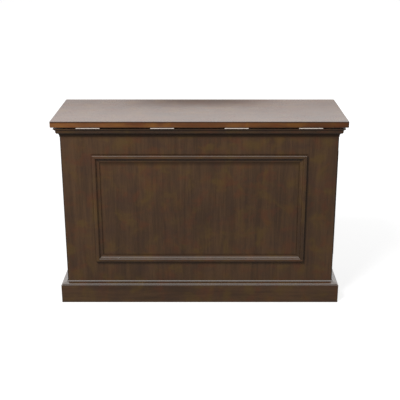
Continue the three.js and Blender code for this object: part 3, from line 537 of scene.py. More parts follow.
def mark_hollows(shape):
    """Marks the concave creases, which the wood finishes darken as painted shade."""
    mark = mark_on(shape.verts, HOLLOW)
    for edge in shape.edges:
        if edge.is_manifold and edge.calc_face_angle_signed() < HOLLOW_ANGLE:
            for vert in edge.verts:
                vert[mark] = 1.0


def shading_normals(shape):
    """A normal for each corner, led by the larger of the faces that run on into each other."""
    shape.normal_update()
    shape.faces.index_update()
    areas = [face.calc_area() for face in shape.faces]
    straight = math.cos(CREASE_ANGLE)
    normals = []
    for face in shape.faces:
        for loop in face.loops:
            total = Vector()
            for other in loop.vert.link_faces:
                if other.normal.dot(face.normal) > straight:
                    total += other.normal * areas[other.index]
            normals.append(total.normalized() if total.length > 0 else face.normal.copy())
    return normals


def piece(shape, name, body, slot, finishes=None, replaces=()):
    """Makes a finished shape an object that rides on a body."""
    mark_hollows(shape)
    normals = shading_normals(shape)
    mesh = kept_mesh(shape, name)
    mesh.shade_smooth()
    mesh.normals_split_custom_set(normals)
    upward = [normal.z for normal in normals]
    mesh.attributes.new(LEDGE, "FLOAT", "CORNER").data.foreach_set("value", upward)
    for each in finishes or [slot]:
        mesh.materials.append(finish(each))
    made = bpy.data.objects.new(name, mesh)
    bpy.context.scene.collection.objects.link(made)
    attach(made, body)
    if replaces:
        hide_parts(*replaces)


def softened(node, suffix, slot, look, width):
    """A node with its sharp edges rounded, in its finish."""
    shape = ease(mesh_of(node), width)
    piece(shape, f"{node}_{suffix}", BODY_OF[node], slot, [look], [node])


# Small shapes, in metres. Each adds to a shape that is open for work


def turned_to(direction):
    """The turn that brings what points up to point in a direction."""
    return Vector(direction).to_track_quat("Z", "Y").to_matrix().to_4x4()


def add_block(shape, low, high):
    """A block between two corners."""
    low, high = Vector(low), Vector(high)
    made = bmesh.ops.create_cube(shape, size=1.0)["verts"]
    bmesh.ops.scale(shape, verts=made, vec=high - low)
    bmesh.ops.translate(shape, verts=made, vec=(low + high) / 2)
    return made


def add_drum(shape, foot, radius, height, sides=24):
    """A round or hexagonal solid that stands at a height on the axis."""
    place = Matrix.Translation((0, 0, foot + height / 2))
    sizes = {"radius1": radius, "radius2": radius, "depth": height}
    bmesh.ops.create_cone(shape, cap_ends=True, segments=sides, matrix=place, **sizes)


def add_ring(shape, centre, direction, profile, steps=48):
    """A closed profile of (radius, height) points turned once round an axis."""
    points = [shape.verts.new((radius, 0, height)) for radius, height in profile]
    edges = [shape.edges.new((a, b)) for a, b in zip(points, points[1:] + points[:1])]
    bmesh.ops.spin(
        shape,
        geom=points + edges,
        cent=(0, 0, 0),
        axis=UP,
        angle=2 * math.pi,
        steps=steps,
        use_merge=True,
    )
    linked = {vert for edge in edges for vert in edge.verts}
    grown = set(linked)
    while grown:
        grown = {e.other_vert(v) for v in grown for e in v.link_edges} - linked
        linked |= grown
    verts = list(linked)
    place = Matrix.Translation(centre) @ turned_to(direction)
    bmesh.ops.transform(shape, matrix=place, verts=verts)
    faces = list({face for vert in verts for face in vert.link_faces})
    bmesh.ops.recalc_face_normals(shape, faces=faces)


def add_collar(shape, centre, half_size, wall, corner, height):
    """A rectangular ring with round corners that stands on its centre point."""
    low = Vector(centre) - Vector((*half_size, 0))
    high = Vector(centre) + Vector((*half_size, height))
    made = add_block(shape, low, high)
    edges = {edge for vert in made for edge in vert.link_edges}
    uprights = [e for e in edges if abs((e.verts[0].co - e.verts[1].co).z) > height / 2]
    round_edges(shape, uprights, corner, 6)
    shape.normal_update()
    ends = [f for f in shape.faces if abs(f.normal.z) > LEVEL]
    bmesh.ops.inset_region(shape, faces=ends, thickness=wall, use_even_offset=True)
    loops = [edge for face in ends for edge in face.edges]
    bmesh.ops.delete(shape, geom=ends, context="FACES_ONLY")
    bmesh.ops.bridge_loops(shape, edges=loops)
    bmesh.ops.recalc_face_normals(shape, faces=shape.faces)


def tops(shape, above):
    """The level faces that look up, from a height on."""
    faces = [face for face in shape.faces if face.normal.z > LEVEL]
    return [face for face in faces if face.calc_center_median().z > above]


def slope(shape, faces, inset, rise):
    """Draws faces in and carries them up."""
    bmesh.ops.inset_region(shape, faces=faces, thickness=inset)
    verts = list({vert for face in faces for vert in face.verts})
    bmesh.ops.translate(shape, verts=verts, vec=(0, 0, rise))
    shape.normal_update()


def sink(shape, faces, rise):
    """Pushes faces in along the upright, with walls round them."""
    made = bmesh.ops.extrude_face_region(shape, geom=faces)["geom"]
    sunk = [item for item in made if isinstance(item, bmesh.types.BMVert)]
    bmesh.ops.translate(shape, verts=sunk, vec=(0, 0, rise))
    bmesh.ops.delete(shape, geom=faces, context="FACES")


def sink_cross(shape, height, half_width, reach, depth):
    """Sinks a cross-head recess into a flat top at a height."""
    above = height - 1e-6
    for axis in (X_AXIS, Y_AXIS):
        for distance in (-reach, -half_width, half_width, reach):
            top = tops(shape, above)
            edges = {edge for face in top for edge in face.edges}
            verts = {vert for face in top for vert in face.verts}
            spot, normal = [0, 0, 0], [0, 0, 0]
            spot[axis], normal[axis] = distance, 1
            geom = top + list(edges) + list(verts)
            bmesh.ops.bisect_plane(shape, geom=geom, dist=1e-7, plane_co=spot, plane_no=normal)
            shape.normal_update()
    arms = []
    for face in tops(shape, above):
        near, far = sorted(abs(value) for value in face.calc_center_median().xy)
        if near < half_width and far < reach:
            arms.append(face)
    sink(shape, arms, -depth)


def screw_pattern(radius, height, dome=0.35):
    """A pan-head screw with a cross recess, its foot at the origin and its head up."""
    shape = bmesh.new()
    shoulder = height * (1 - dome)
    add_drum(shape, 0, radius, shoulder)
    slope(shape, tops(shape, shoulder / 2), radius * 0.3, height * dome)
    sink_cross(shape, height, radius * 0.1, radius * 0.52, height * 0.6)
    return kept_mesh(shape, "screw_pattern")


def bolt_pattern(radius, height, washer_radius, washer_height):
    """A hexagon bolt head on a washer, its foot at the origin."""
    shape = bmesh.new()
    add_drum(shape, 0, washer_radius, washer_height, 28)
    add_drum(shape, washer_height, radius, height, 6)
    ease(shape, 0.00035)
    return kept_mesh(shape, "bolt_pattern")


def socket_pattern(radius, height):
    """A button-head bolt with a hexagon socket, its foot at the origin."""
    shape = bmesh.new()
    rim = height * 0.45
    add_drum(shape, 0, radius, rim)
    top = tops(shape, rim / 2)
    for inset, rise in ((0.16, 0.35), (0.24, 0.2)):
        slope(shape, top, radius * inset, height * rise)
    bmesh.ops.inset_region(shape, faces=top, thickness=radius * 0.14)
    sink(shape, top, -height * 0.55)
    return kept_mesh(shape, "socket_pattern")


def fastened(name, pattern, places, body, direction=UP, slot="screw_steel"):
    """A copy of a screw or bolt at each place, its head towards a direction, as one piece."""
    shape = bmesh.new()
    for index, place in enumerate(places):
        start = len(shape.verts)
        shape.from_mesh(pattern)
        shape.verts.ensure_lookup_table()
        fresh = shape.verts[start:]
        spin = Matrix.Rotation(0.7 * index, 4, "Z")
        whole = Matrix.Translation(place) @ turned_to(direction) @ spin
        bmesh.ops.transform(shape, matrix=whole, verts=fresh)
    piece(shape, name, body, slot)


def eased_blocks(name, body, slot, blocks, width, segments=2):
    """Blocks with eased edges, each between two corners, as one piece."""
    shape = bmesh.new()
    for low, high in blocks:
        add_block(shape, low, high)
    ease(shape, width, segments)
    piece(shape, name, body, slot)


def mirrored(profile):
    """The points of a half profile, and the same ones above the middle."""
    return profile + [(radius, -height) for radius, height in reversed(profile)]


def weld_bead(shape, start, end, radius=0.0018):
    """A row of overlapping ripples from one point to another."""
    start, end = Vector(start), Vector(end)
    turn = turned_to(end - start)
    count = max(2, int((end - start).length / (radius * 0.9)))
    for step in range(count + 1):
        spot = start.lerp(end, step / count)
        size = radius * (1.0 + 0.12 * math.sin(step * 2.4))
        place = Matrix.Translation(spot) @ turn @ Matrix.Diagonal((size, size, size * 0.75, 1.0))
        bmesh.ops.create_uvsphere(shape, u_segments=10, v_segments=6, radius=1.0, matrix=place)


def threaded_rod(centre, bottom, top, crest, root, lead=0.010, starts=2, steps=28):
    """A rod with a helical thread, cut flat at both ends."""
    shape = bmesh.new()
    pitch = lead / starts
    foot = bottom - 1.5 * lead
    tooth = ((0.0, root), (0.3, root), (0.45, crest), (0.85, crest))
    profile = []
    for turn in range(starts):
        profile += [(radius, (turn + share) * pitch) for share, radius in tooth]
    profile.append((root, lead))
    turns = math.ceil((top - bottom) / lead) + 2
    points = [shape.verts.new((radius, 0, foot + height)) for radius, height in profile]
    edges = [shape.edges.new(pair) for pair in zip(points, points[1:])]
    bmesh.ops.spin(
        shape,
        geom=points + edges,
        cent=(0, 0, 0),
        axis=UP,
        dvec=(0, 0, lead / steps),
        angle=2 * math.pi * turns,
        steps=turns * steps,
    )
    bmesh.ops.remove_doubles(shape, verts=shape.verts, dist=2e-6)
    for height, normal in ((bottom, DOWN), (top, UP)):
        geom = shape.verts[:] + shape.edges[:] + shape.faces[:]
        plane = {"plane_co": (0, 0, height), "plane_no": normal}
        cut = bmesh.ops.bisect_plane(shape, geom=geom, dist=1e-7, clear_outer=True, **plane)
        rim = [item for item in cut["geom_cut"] if isinstance(item, bmesh.types.BMEdge)]
        bmesh.ops.holes_fill(shape, edges=[edge for edge in rim if edge.is_boundary], sides=0)
    bmesh.ops.recalc_face_normals(shape, faces=shape.faces)
    bmesh.ops.translate(shape, verts=shape.verts, vec=(*centre, 0))
    return shape


# Settings


class CabinetWoodSettings(bpy.types.PropertyGroup):
    board_edge: bpy.props.FloatProperty(
        name="Board edge",
        description="Rounding of the edges of panels and plinth boards",
        default=0.0009,
        unit="LENGTH",
    )
    moulding_edge: bpy.props.FloatProperty(
        name="Moulding edge",
        description="Rounding of the arrises of the mouldings",
        default=0.0004,
        unit="LENGTH",
    )


def colour_setting(name, description, red, green, blue):
    return bpy.props.FloatVectorProperty(
        name=name,
        description=description,
        default=stain(red, green, blue, alpha=False),
        subtype="COLOR",
        min=0.0,
        max=1.0,
    )


class CabinetColourSettings(bpy.types.PropertyGroup):
    case_dark: colour_setting("Case, dark", "Dark bands of the stained case", 51, 36, 24)
    case_light: colour_setting("Case, light", "Light bands of the stained case", 75, 54, 36)
    lid_dark: colour_setting("Lid, dark", "Dark bands of the top of the lid", 72, 47, 30)
    lid_light: colour_setting("Lid, light", "Light bands of the top of the lid", 100, 66, 42)
    edge_dark: colour_setting("Lid edge, dark", "Dark bands of the edge of the lid", 78, 46, 24)
    edge_light: colour_setting("Lid edge, light", "Light bands of the edge of the lid", 114, 74, 40)
    hinges: colour_setting("Hinges", "Plated steel of the hinges", 214, 205, 198)
    columns: colour_setting("Columns", "Bare metal of the inner columns", 186, 189, 193)
    screws: colour_setting("Screws", "Plated steel of screws and bolts", 176, 174, 166)
    coat: colour_setting("Powder coat", "Coat of the bracket, arms and outer column", 36, 37, 39)
    plastic: colour_setting("Plastic", "Housings and caps", 30, 31, 33)
    nylon: colour_setting("Nylon", "Nuts, rollers and wear strips", 222, 218, 206)
    rubber: colour_setting("Rubber", "Bumpers and tyres", 34, 34, 34)


class CabinetStageSettings(bpy.types.PropertyGroup):
    camera_place: bpy.props.FloatVectorProperty(
        name="Camera place",
        description="Where the photograph was taken from",
        default=(0.02902, -3.64623, 1.67681),
        subtype="TRANSLATION",
    )
    camera_pitch: bpy.props.FloatProperty(
        name="Camera pitch",
        description="How far the camera looks down",
        default=math.radians(19.034),
        subtype="ANGLE",
    )
    lens: bpy.props.FloatProperty(
        name="Lens",
        description="Focal length in millimetres on a 36 mm sensor",
        default=74.36,
    )
    shift: bpy.props.FloatProperty(
        name="Shift",
        description="Sideways shift of the lens",
        default=-0.01549,
    )
    ambient: bpy.props.FloatProperty(
        name="Ambient light",
        description="Strength of the light from all round",
        default=0.22,
    )
    key_power: bpy.props.FloatProperty(
        name="Key light",
        description="Power of the large soft light in front and above, in watts",
        default=290.0,
    )
    fill_power: bpy.props.FloatProperty(
        name="Fill light",
        description="Power of the soft light behind the cabinet, in watts",
        default=120.0,
    )


# Operators


class CABINET_OT_stage(bpy.types.Operator):
    """Camera, floor, background and soft lights"""

    bl_idname = "cabinet.stage"
    bl_label = "Stage"

    def execute(self, context):
        settings = context.scene.cabinet_stage
        scene = context.scene
        scene.view_settings.view_transform = "Standard"
        lens = bpy.data.cameras.new("photo_camera")
        lens.lens = settings.lens
        lens.sensor_width = 36.0
        lens.shift_x = settings.shift
        camera = bpy.data.objects.new("photo_camera", lens)
        camera.location = settings.camera_place
        camera.rotation_euler = (math.pi / 2 - settings.camera_pitch, 0, 0)
        scene.collection.objects.link(camera)
        scene.camera = camera
        self.light_world(scene, settings.ambient)
        self.lay_floor(scene)
        self.hang_light(scene, "key_light", settings.key_power, **KEY_LIGHT)
        self.hang_light(scene, "fill_light", settings.fill_power, **FILL_LIGHT)
        return {"FINISHED"}

    def seen(self, board):
        """One for rays that show the background, nought for rays that light things."""
        camera = board.node("LightPath", output="Is Camera Ray")
        for ray in ("Glossy", "Transmission"):
            camera = camera.larger(board.node("LightPath", output=f"Is {ray} Ray"))
        return camera

    def light_world(self, scene, ambient):
        world = bpy.data.worlds.new("studio")
        world.use_nodes = True
        scene.world = world
        board = Board(world.node_tree)
        strength = self.seen(board) * (1 - ambient) + ambient
        glow = board.node("Background", None, {"Color": (1, 1, 1, 1), "Strength": strength})
        board.node("OutputWorld", None, {"Surface": glow})

    def lay_floor(self, scene):
        material, board = new_board("pale_floor")
        matt = board.node("BsdfDiffuse", None, {"Color": FLOOR_COLOUR})
        length = {"operation": "LENGTH"}
        reach = board.node("VectorMath", length, {0: board.place()}, output="Value")
        strength = self.seen(board) * (FLOOR_GLOW + board.ramp(reach, *FLOOR_FADE) * FLOOR_FAR_GLOW)
        glow = board.node("Emission", None, {"Color": (1, 1, 1, 1), "Strength": strength})
        both = board.node("AddShader", None, {0: matt, 1: glow})
        board.node("OutputMaterial", None, {"Surface": both})
        shape = bmesh.new()
        bmesh.ops.create_circle(shape, cap_ends=True, segments=64, radius=FLOOR_RADIUS)
        bmesh.ops.translate(shape, verts=shape.verts, vec=(0, 0, FLOOR_HEIGHT))
        mesh = kept_mesh(shape, "floor")
        mesh.materials.append(material)
        floor = bpy.data.objects.new("floor", mesh)
        scene.collection.objects.link(floor)

    def hang_light(self, scene, name, power, place, size):
        lamp = bpy.data.lights.new(name, "AREA")
        lamp.shape = "DISK"
        lamp.size = size
        lamp.energy = power
        light = bpy.data.objects.new(name, lamp)
        light.location = place
        aim = Vector(LIGHT_AIM) - Vector(place)
        light.rotation_euler = aim.to_track_quat("-Z", "Y").to_euler()
        light.visible_camera = False
        light.visible_glossy = False
        scene.collection.objects.link(light)


class CABINET_OT_panels(bpy.types.Operator):
    """Four upright panels and four plinth boards"""

    bl_idname = "cabinet.panels"
    bl_label = "Panels and plinth"

    def execute(self, context):
        width = context.scene.cabinet_wood.board_edge
        for side, run in SIDES.items():
            softened(f"{side}_panel", "veneered", "case_wood", PANEL_WOODS[run], width)
            softened(f"{side}_plinth_board", "planed", "case_wood", f"case_wood_{run}", width)
        softened("bottom_panel", "edged", "inside_wood", "deck_wood", width)
        return {"FINISHED"}


class CABINET_OT_mouldings(bpy.types.Operator):
    """Plinth caps, crown, top rails and the applied panel mouldings"""

    bl_idname = "cabinet.mouldings"
    bl_label = "Mouldings"

    def execute(self, context):
        width = context.scene.cabinet_wood.moulding_edge
        for side, run in SIDES.items():
            level = f"case_wood_{run}"
            softened(f"{side}_plinth_cap", "moulded", "case_wood", f"cap_wood_{run}", width)
            softened(f"{side}_top_rail", "moulded", "case_wood", level, width)
            softened(f"{side}_crown", "moulded", "case_wood", f"crown_wood_{run}", width)
            if run == "y":
                self.glue_up_frame(f"{side}_frame", level, width)
                continue
            for strip in ("bottom", "top"):
                self.strip_with_shaded_feet(f"{side}_frame_{strip}", level, width)
            for strip in ("left", "right"):
                self.strip_with_shaded_feet(f"{side}_frame_{strip}", "case_wood_z", width)
        return {"FINISHED"}

    def strip_with_shaded_feet(self, node, look, width):
        """A strip whose arrises against the panel are painted dark, as painted shade."""
        shape = ease(mesh_of(node), width)
        mark_feet(shape, Y_AXIS, CASE_CORNER[1])
        piece(shape, f"{node}_moulded", BODY_OF[node], "case_wood", [look], [node])

    def glue_up_frame(self, node, level, width):
        """Turns the grain of a one-piece frame at its mitres."""
        low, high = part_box(node)
        middle = (low + high) / 2
        half = (high - low) / 2
        shape = ease(mesh_of(node), width)
        # Its feet against the panel are marked for painted shade
        mark_feet(shape, X_AXIS, CASE_CORNER[0])
        for face in shape.faces:
            spot = face.calc_center_median() - middle
            is_upright = abs(spot.y) - half.y > abs(spot.z) - half.z
            face.material_index = 1 if is_upright else 0
        looks = [level, "case_wood_z"]
        piece(shape, f"{node}_moulded", BODY_OF[node], "case_wood", looks, [node])


class CABINET_OT_lid(bpy.types.Operator):
    """The lid board with its lacquered top"""

    bl_idname = "cabinet.lid"
    bl_label = "Lid"

    def execute(self, context):
        shape = mesh_of("lid_board")
        shape.faces.layers.float.new(EASED)
        for face in shape.faces:
            face.material_index = 0 if abs(face.normal.z) > LEVEL else 1
        finishes = ["lid_top_wood", "lid_edge_wood"]
        piece(shape, "lid_board_lacquered", "lid", "lid_wood", finishes, ["lid_board"])
        for side in ("left", "right"):
            softened(f"lid_bumper_{side}", "moulded", "rubber", "rubber", BUMPER_EDGE)
        return {"FINISHED"}


class CABINET_OT_hinges(bpy.types.Operator):
    """Four butt hinges"""

    bl_idname = "cabinet.hinges"
    bl_label = "Hinges"

    def execute(self, context):
        screw = screw_pattern(**HINGE_SCREW)
        for number in HINGES:
            for leaf in ("fixed", "lid"):
                self.plate_leaf(f"hinge_{leaf}_leaf_{number}")
            low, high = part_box(f"hinge_fixed_leaf_{number}")
            middle = (low.x + high.x) / 2
            for body, end, height, direction in (
                ("cabinet", "case", low.z + LEAF_THICKNESS, UP),
                ("lid", "lid", high.z - LEAF_THICKNESS, DOWN),
            ):
                places = [
                    (middle + offset, HINGE_SCREW_LINE, height)
                    for offset in (-HINGE_SCREW_SPACING, 0.0, HINGE_SCREW_SPACING)
                ]
                name = f"hinge_{end}_screws_{number}"
                fastened(name, screw, places, body, direction, "hinge_steel")
        return {"FINISHED"}

    def plate_leaf(self, node):
        """Eases a leaf by less than half of its shortest edge, so nothing has to be clamped."""
        shape = merged(mesh_of(node), LEAF_MERGE)
        ease(shape, LEAF_EDGE, 1, LEAF_CREASE, False)
        piece(shape, f"{node}_plated", BODY_OF[node], "hinge_steel", replaces=[node])


# How far the edges of each part of the lift are rounded, by finish
LIFT_EDGES = {
    "black_steel": {
        "lift_base_plate": 0.0008,
        "outer_column": 0.0004,
        "head_bracket": 0.0006,
        "tv_crossbar": 0.0004,
        "tv_arm_left": 0.0004,
        "tv_arm_right": 0.0004,
        "lid_pusher": 0.0006,
    },
    "silver_steel": {"middle_column": 0.0004, "inner_column": 0.0004},
    "screw_steel": {"upper_screw": 0.0004},
    "black_plastic": {"gear_motor": 0.0008, "control_box": 0.001, "cable_grommet": 0.0005},
    "nylon": {
        "lower_nut": 0.0006,
        "upper_nut": 0.0006,
        "pusher_roller_left": 0.0005,
        "pusher_roller_right": 0.0005,
    },
}


class CABINET_OT_lift(bpy.types.Operator):
    """Columns, bracket, arms and drive of the lift"""

    bl_idname = "cabinet.lift"
    bl_label = "Lift"

    def execute(self, context):
        for slot, nodes in LIFT_EDGES.items():
            for node, width in nodes.items():
                softened(node, "finished", slot, slot, width)
        return {"FINISHED"}


OUTER_COLLAR, MIDDLE_COLLAR = (0.055, 0.040), (0.0505, 0.0355)
COLLAR = {"wall": 0.0041, "corner": 0.0075, "height": 0.003}
COLLAR_EDGE = 0.0007
BASE_BOLT = {"radius": 0.0072, "height": 0.0052, "washer_radius": 0.0085, "washer_height": 0.0014}
BASE_BOLTS_X, BASE_BOLTS_Y = (-0.144, 0.144), (-0.157, -0.019)
COLUMN_WELD, COLUMN_WELD_HALF = 0.0555, 0.030
FRONT_WELD, FRONT_WELD_HALF = 0.0405, 0.045
BRACKET_PLATE = 0.006
BRACKET_WELD, BRACKET_WELD_HALF, BRACKET_WELD_SUNK = 0.0564, 0.052, 0.0006
GUSSET_WELD = {"from": 0.006, "to": 0.004, "sunk": 0.0004, "radius": 0.0012}
HEAD_BOLT = {"radius": 0.0065, "height": 0.0042}
HEAD_BOLTS_X, HEAD_BOLTS_Y = (-0.034, 0.034), (-0.02, 0.02)


class CABINET_OT_column_details(bpy.types.Operator):
    """Guide collars, welds and bolts of the columns and their bracket"""

    bl_idname = "cabinet.column_details"
    bl_label = "Column details"

    def execute(self, context):
        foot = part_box("lift_base_plate")[1].z
        outer_low, outer_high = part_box("outer_column")
        middle_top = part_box("middle_column")[1].z
        line = (outer_low.y + outer_high.y) / 2
        self.fit_collar("outer_guide_collar", "cabinet", (0, line, outer_high.z), OUTER_COLLAR)
        self.fit_collar("middle_guide_collar", "lift_middle", (0, line, middle_top), MIDDLE_COLLAR)

        spots = [(x, y, foot) for x in BASE_BOLTS_X for y in BASE_BOLTS_Y]
        fastened("base_plate_screws", bolt_pattern(**BASE_BOLT), spots, "cabinet")

        shape = bmesh.new()
        for x in (-COLUMN_WELD, COLUMN_WELD):
            weld_bead(shape, (x, line - COLUMN_WELD_HALF, foot), (x, line + COLUMN_WELD_HALF, foot))
        y = line + FRONT_WELD
        weld_bead(shape, (-FRONT_WELD_HALF, y, foot), (FRONT_WELD_HALF, y, foot))
        piece(shape, "base_plate_welds", "cabinet", "black_steel")

        low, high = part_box("head_bracket")
        under = high.z - BRACKET_PLATE
        inner = high.y - BRACKET_PLATE
        y, z = inner - BRACKET_WELD_SUNK, under - BRACKET_WELD_SUNK
        shape = bmesh.new()
        weld_bead(shape, (-BRACKET_WELD_HALF, y, z), (BRACKET_WELD_HALF, y, z))
        start, end = low.y + GUSSET_WELD["from"], inner - GUSSET_WELD["to"]
        z = under - GUSSET_WELD["sunk"]
        for x in (-BRACKET_WELD, BRACKET_WELD):
            weld_bead(shape, (x, start, z), (x, end, z), GUSSET_WELD["radius"])
        piece(shape, "head_bracket_welds", "lift_carriage", "black_steel")

        spots = [(x, line + y, high.z) for x in HEAD_BOLTS_X for y in HEAD_BOLTS_Y]
        fastened("head_plate_bolts", socket_pattern(**HEAD_BOLT), spots, "lift_carriage")
        return {"FINISHED"}

    def fit_collar(self, name, body, foot, half_size):
        shape = bmesh.new()
        add_collar(shape, foot, half_size, **COLLAR)
        ease(shape, COLLAR_EDGE)
        piece(shape, name, body, "black_plastic")


BAR_BOLT = {"radius": 0.006, "height": 0.0038}
BAR_BOLT_INSET = 0.015
BAR_BOLTS_X, ARM_BOLTS_X = (-0.04, 0.04), (-0.2, 0.2)
CAP_THICKNESS, CAP_EDGE = 0.0018, 0.0006
PUSHER_BOLT = {"radius": 0.0042, "height": 0.0034, "washer_radius": 0.0052, "washer_height": 0.001}
PUSHER_FOOT = 0.004
PUSHER_BOLTS_X, PUSHER_BOLTS_APART = (-0.11, 0.11), (-0.018, 0.018)
# How proud of its roller a tyre is, and how far from the roller's end
TYRE = ((-0.0006, 0.0035), (0.0002, 0.0037), (0.0006, 0.0060))
AXLE_NUT = {"radius": 0.0052, "height": 0.0036, "washer_radius": 0.0064, "washer_height": 0.0008}
STRIP_HALF_WIDTH, STRIP_THICKNESS, STRIP_EDGE = 0.018, 0.0008, 0.0003
STRIP_REAR, STRIP_FRONT = -0.04, 0.213


class CABINET_OT_carriage_details(bpy.types.Operator):
    """End caps, bolts, tyres and wear strips of what rises with the television"""

    bl_idname = "cabinet.carriage_details"
    bl_label = "Carriage details"

    def execute(self, context):
        low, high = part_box("tv_crossbar")
        button = socket_pattern(**BAR_BOLT)
        heights = (low.z + BAR_BOLT_INSET, high.z - BAR_BOLT_INSET)
        spots = [(x, high.y, z) for x in BAR_BOLTS_X for z in heights]
        fastened("crossbar_bolts", button, spots, "lift_carriage", TO_FRONT)
        spots = [(x, low.y, z) for x in ARM_BOLTS_X for z in heights]
        fastened("arm_clamp_bolts", button, spots, "lift_carriage", TO_REAR)
        caps = [
            ((low.x - CAP_THICKNESS, low.y, low.z), (low.x, high.y, high.z)),
            ((high.x, low.y, low.z), (high.x + CAP_THICKNESS, high.y, high.z)),
        ]
        eased_blocks("crossbar_end_caps", "lift_carriage", "black_plastic", caps, CAP_EDGE)
        for side in ("left", "right"):
            self.cap_arm(side)
            self.dress_roller(side)

        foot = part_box("lid_pusher")[0].z + PUSHER_FOOT
        middle = (low.y + high.y) / 2
        spots = [(x + shift, middle, foot) for x in PUSHER_BOLTS_X for shift in PUSHER_BOLTS_APART]
        fastened("pusher_foot_bolts", bolt_pattern(**PUSHER_BOLT), spots, "lift_carriage")
        return {"FINISHED"}

    def cap_arm(self, side):
        low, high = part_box(f"tv_arm_{side}")
        caps = [
            ((low.x, low.y, high.z), (high.x, high.y, high.z + CAP_THICKNESS)),
            ((low.x, low.y, low.z - CAP_THICKNESS), (high.x, high.y, low.z)),
        ]
        eased_blocks(f"tv_arm_caps_{side}", "lift_carriage", "black_plastic", caps, CAP_EDGE)

    def dress_roller(self, side):
        low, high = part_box(f"pusher_roller_{side}")
        middle = (low + high) / 2
        radius = (high.z - low.z) / 2
        half = (high.x - low.x) / 2
        shape = bmesh.new()
        profile = mirrored([(radius + proud, inset - half) for proud, inset in TYRE])
        add_ring(shape, middle, (1, 0, 0), profile)
        piece(shape, f"pusher_tyre_{side}", f"roller_{side}", "rubber")

        outward = -1 if side == "left" else 1
        edge = max(abs(corner.x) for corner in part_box("lid_pusher"))
        spot = (outward * edge, middle.y, middle.z)
        nut = bolt_pattern(**AXLE_NUT)
        fastened(f"axle_nut_{side}", nut, [spot], "lift_carriage", (outward, 0, 0))

        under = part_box("lid_board")[0].z
        start = (middle.x - STRIP_HALF_WIDTH, STRIP_REAR, under - STRIP_THICKNESS)
        end = (middle.x + STRIP_HALF_WIDTH, STRIP_FRONT, under)
        eased_blocks(f"lid_wear_strip_{side}", "lid", "nylon", [(start, end)], STRIP_EDGE, 1)


GEARBOX_REAR, GEARBOX_FRONT, GEARBOX_HEIGHT = -0.167, -0.105, 0.05
GEARBOX_BOLT = {"radius": 0.0034, "height": 0.003}
GEARBOX_BOLT_X, GEARBOX_BOLT_INSET = 0.029, 0.006
MOTOR_RADIUS = 0.026
# How proud of the motor a band is, and how far from its own middle
BAND = ((-0.0004, 0.0028), (0.0010, 0.0028), (0.0014, 0.0022))
BAND_HEIGHTS = (0.004, 0.050, 0.102)
FIN_COUNT, FIN_MIDDLE, FIN_PROUD, FIN_EDGE = 14, 0.076, 0.0005, 0.0004
FIN = Vector((0.0022, 0.0009, 0.017))
COVER_INSET, COVER_SUNK, COVER_PROUD, COVER_EDGE = 0.004, 0.0004, 0.0016, 0.0008
COVER_SCREW = {"radius": 0.003, "height": 0.0018}
COVER_SCREW_INSET = 0.010
SLATS, FIRST_SLAT, SLAT_SPACING, SLAT_HALF, SLAT_EDGE = 7, 0.018, 0.005, 0.0012, 0.0006
SLAT_LEFT, SLAT_RIGHT, SLAT_FOOT, SLAT_PROUD = 0.020, 0.064, 0.0014, 0.0030
SOCKETS, FIRST_SOCKET, SOCKET_SPACING, SOCKET_HALF = 4, 0.026, 0.029, 0.010
SOCKET_REAR, SOCKET_FRONT, SOCKET_HEIGHT = 0.012, 0.010, 0.003
SOCKET_WALL, SOCKET_DEPTH = 0.0016, 0.0024
EAR_SUNK, EAR_INWARD, EAR_OUTWARD, EAR_HALF, EAR_THICKNESS = 0.0003, 0.001, 0.016, 0.011, 0.0028
EAR_SCREW = 0.009
LAMP = ((0, 0), (0.0026, 0), (0.0026, 0.0008), (0.0018, 0.0018), (0.0007, 0.0022), (0, 0.0023))
LAMP_INSET = 0.024
THREAD_CREST, THREAD_ROOT = 0.008, 0.0068


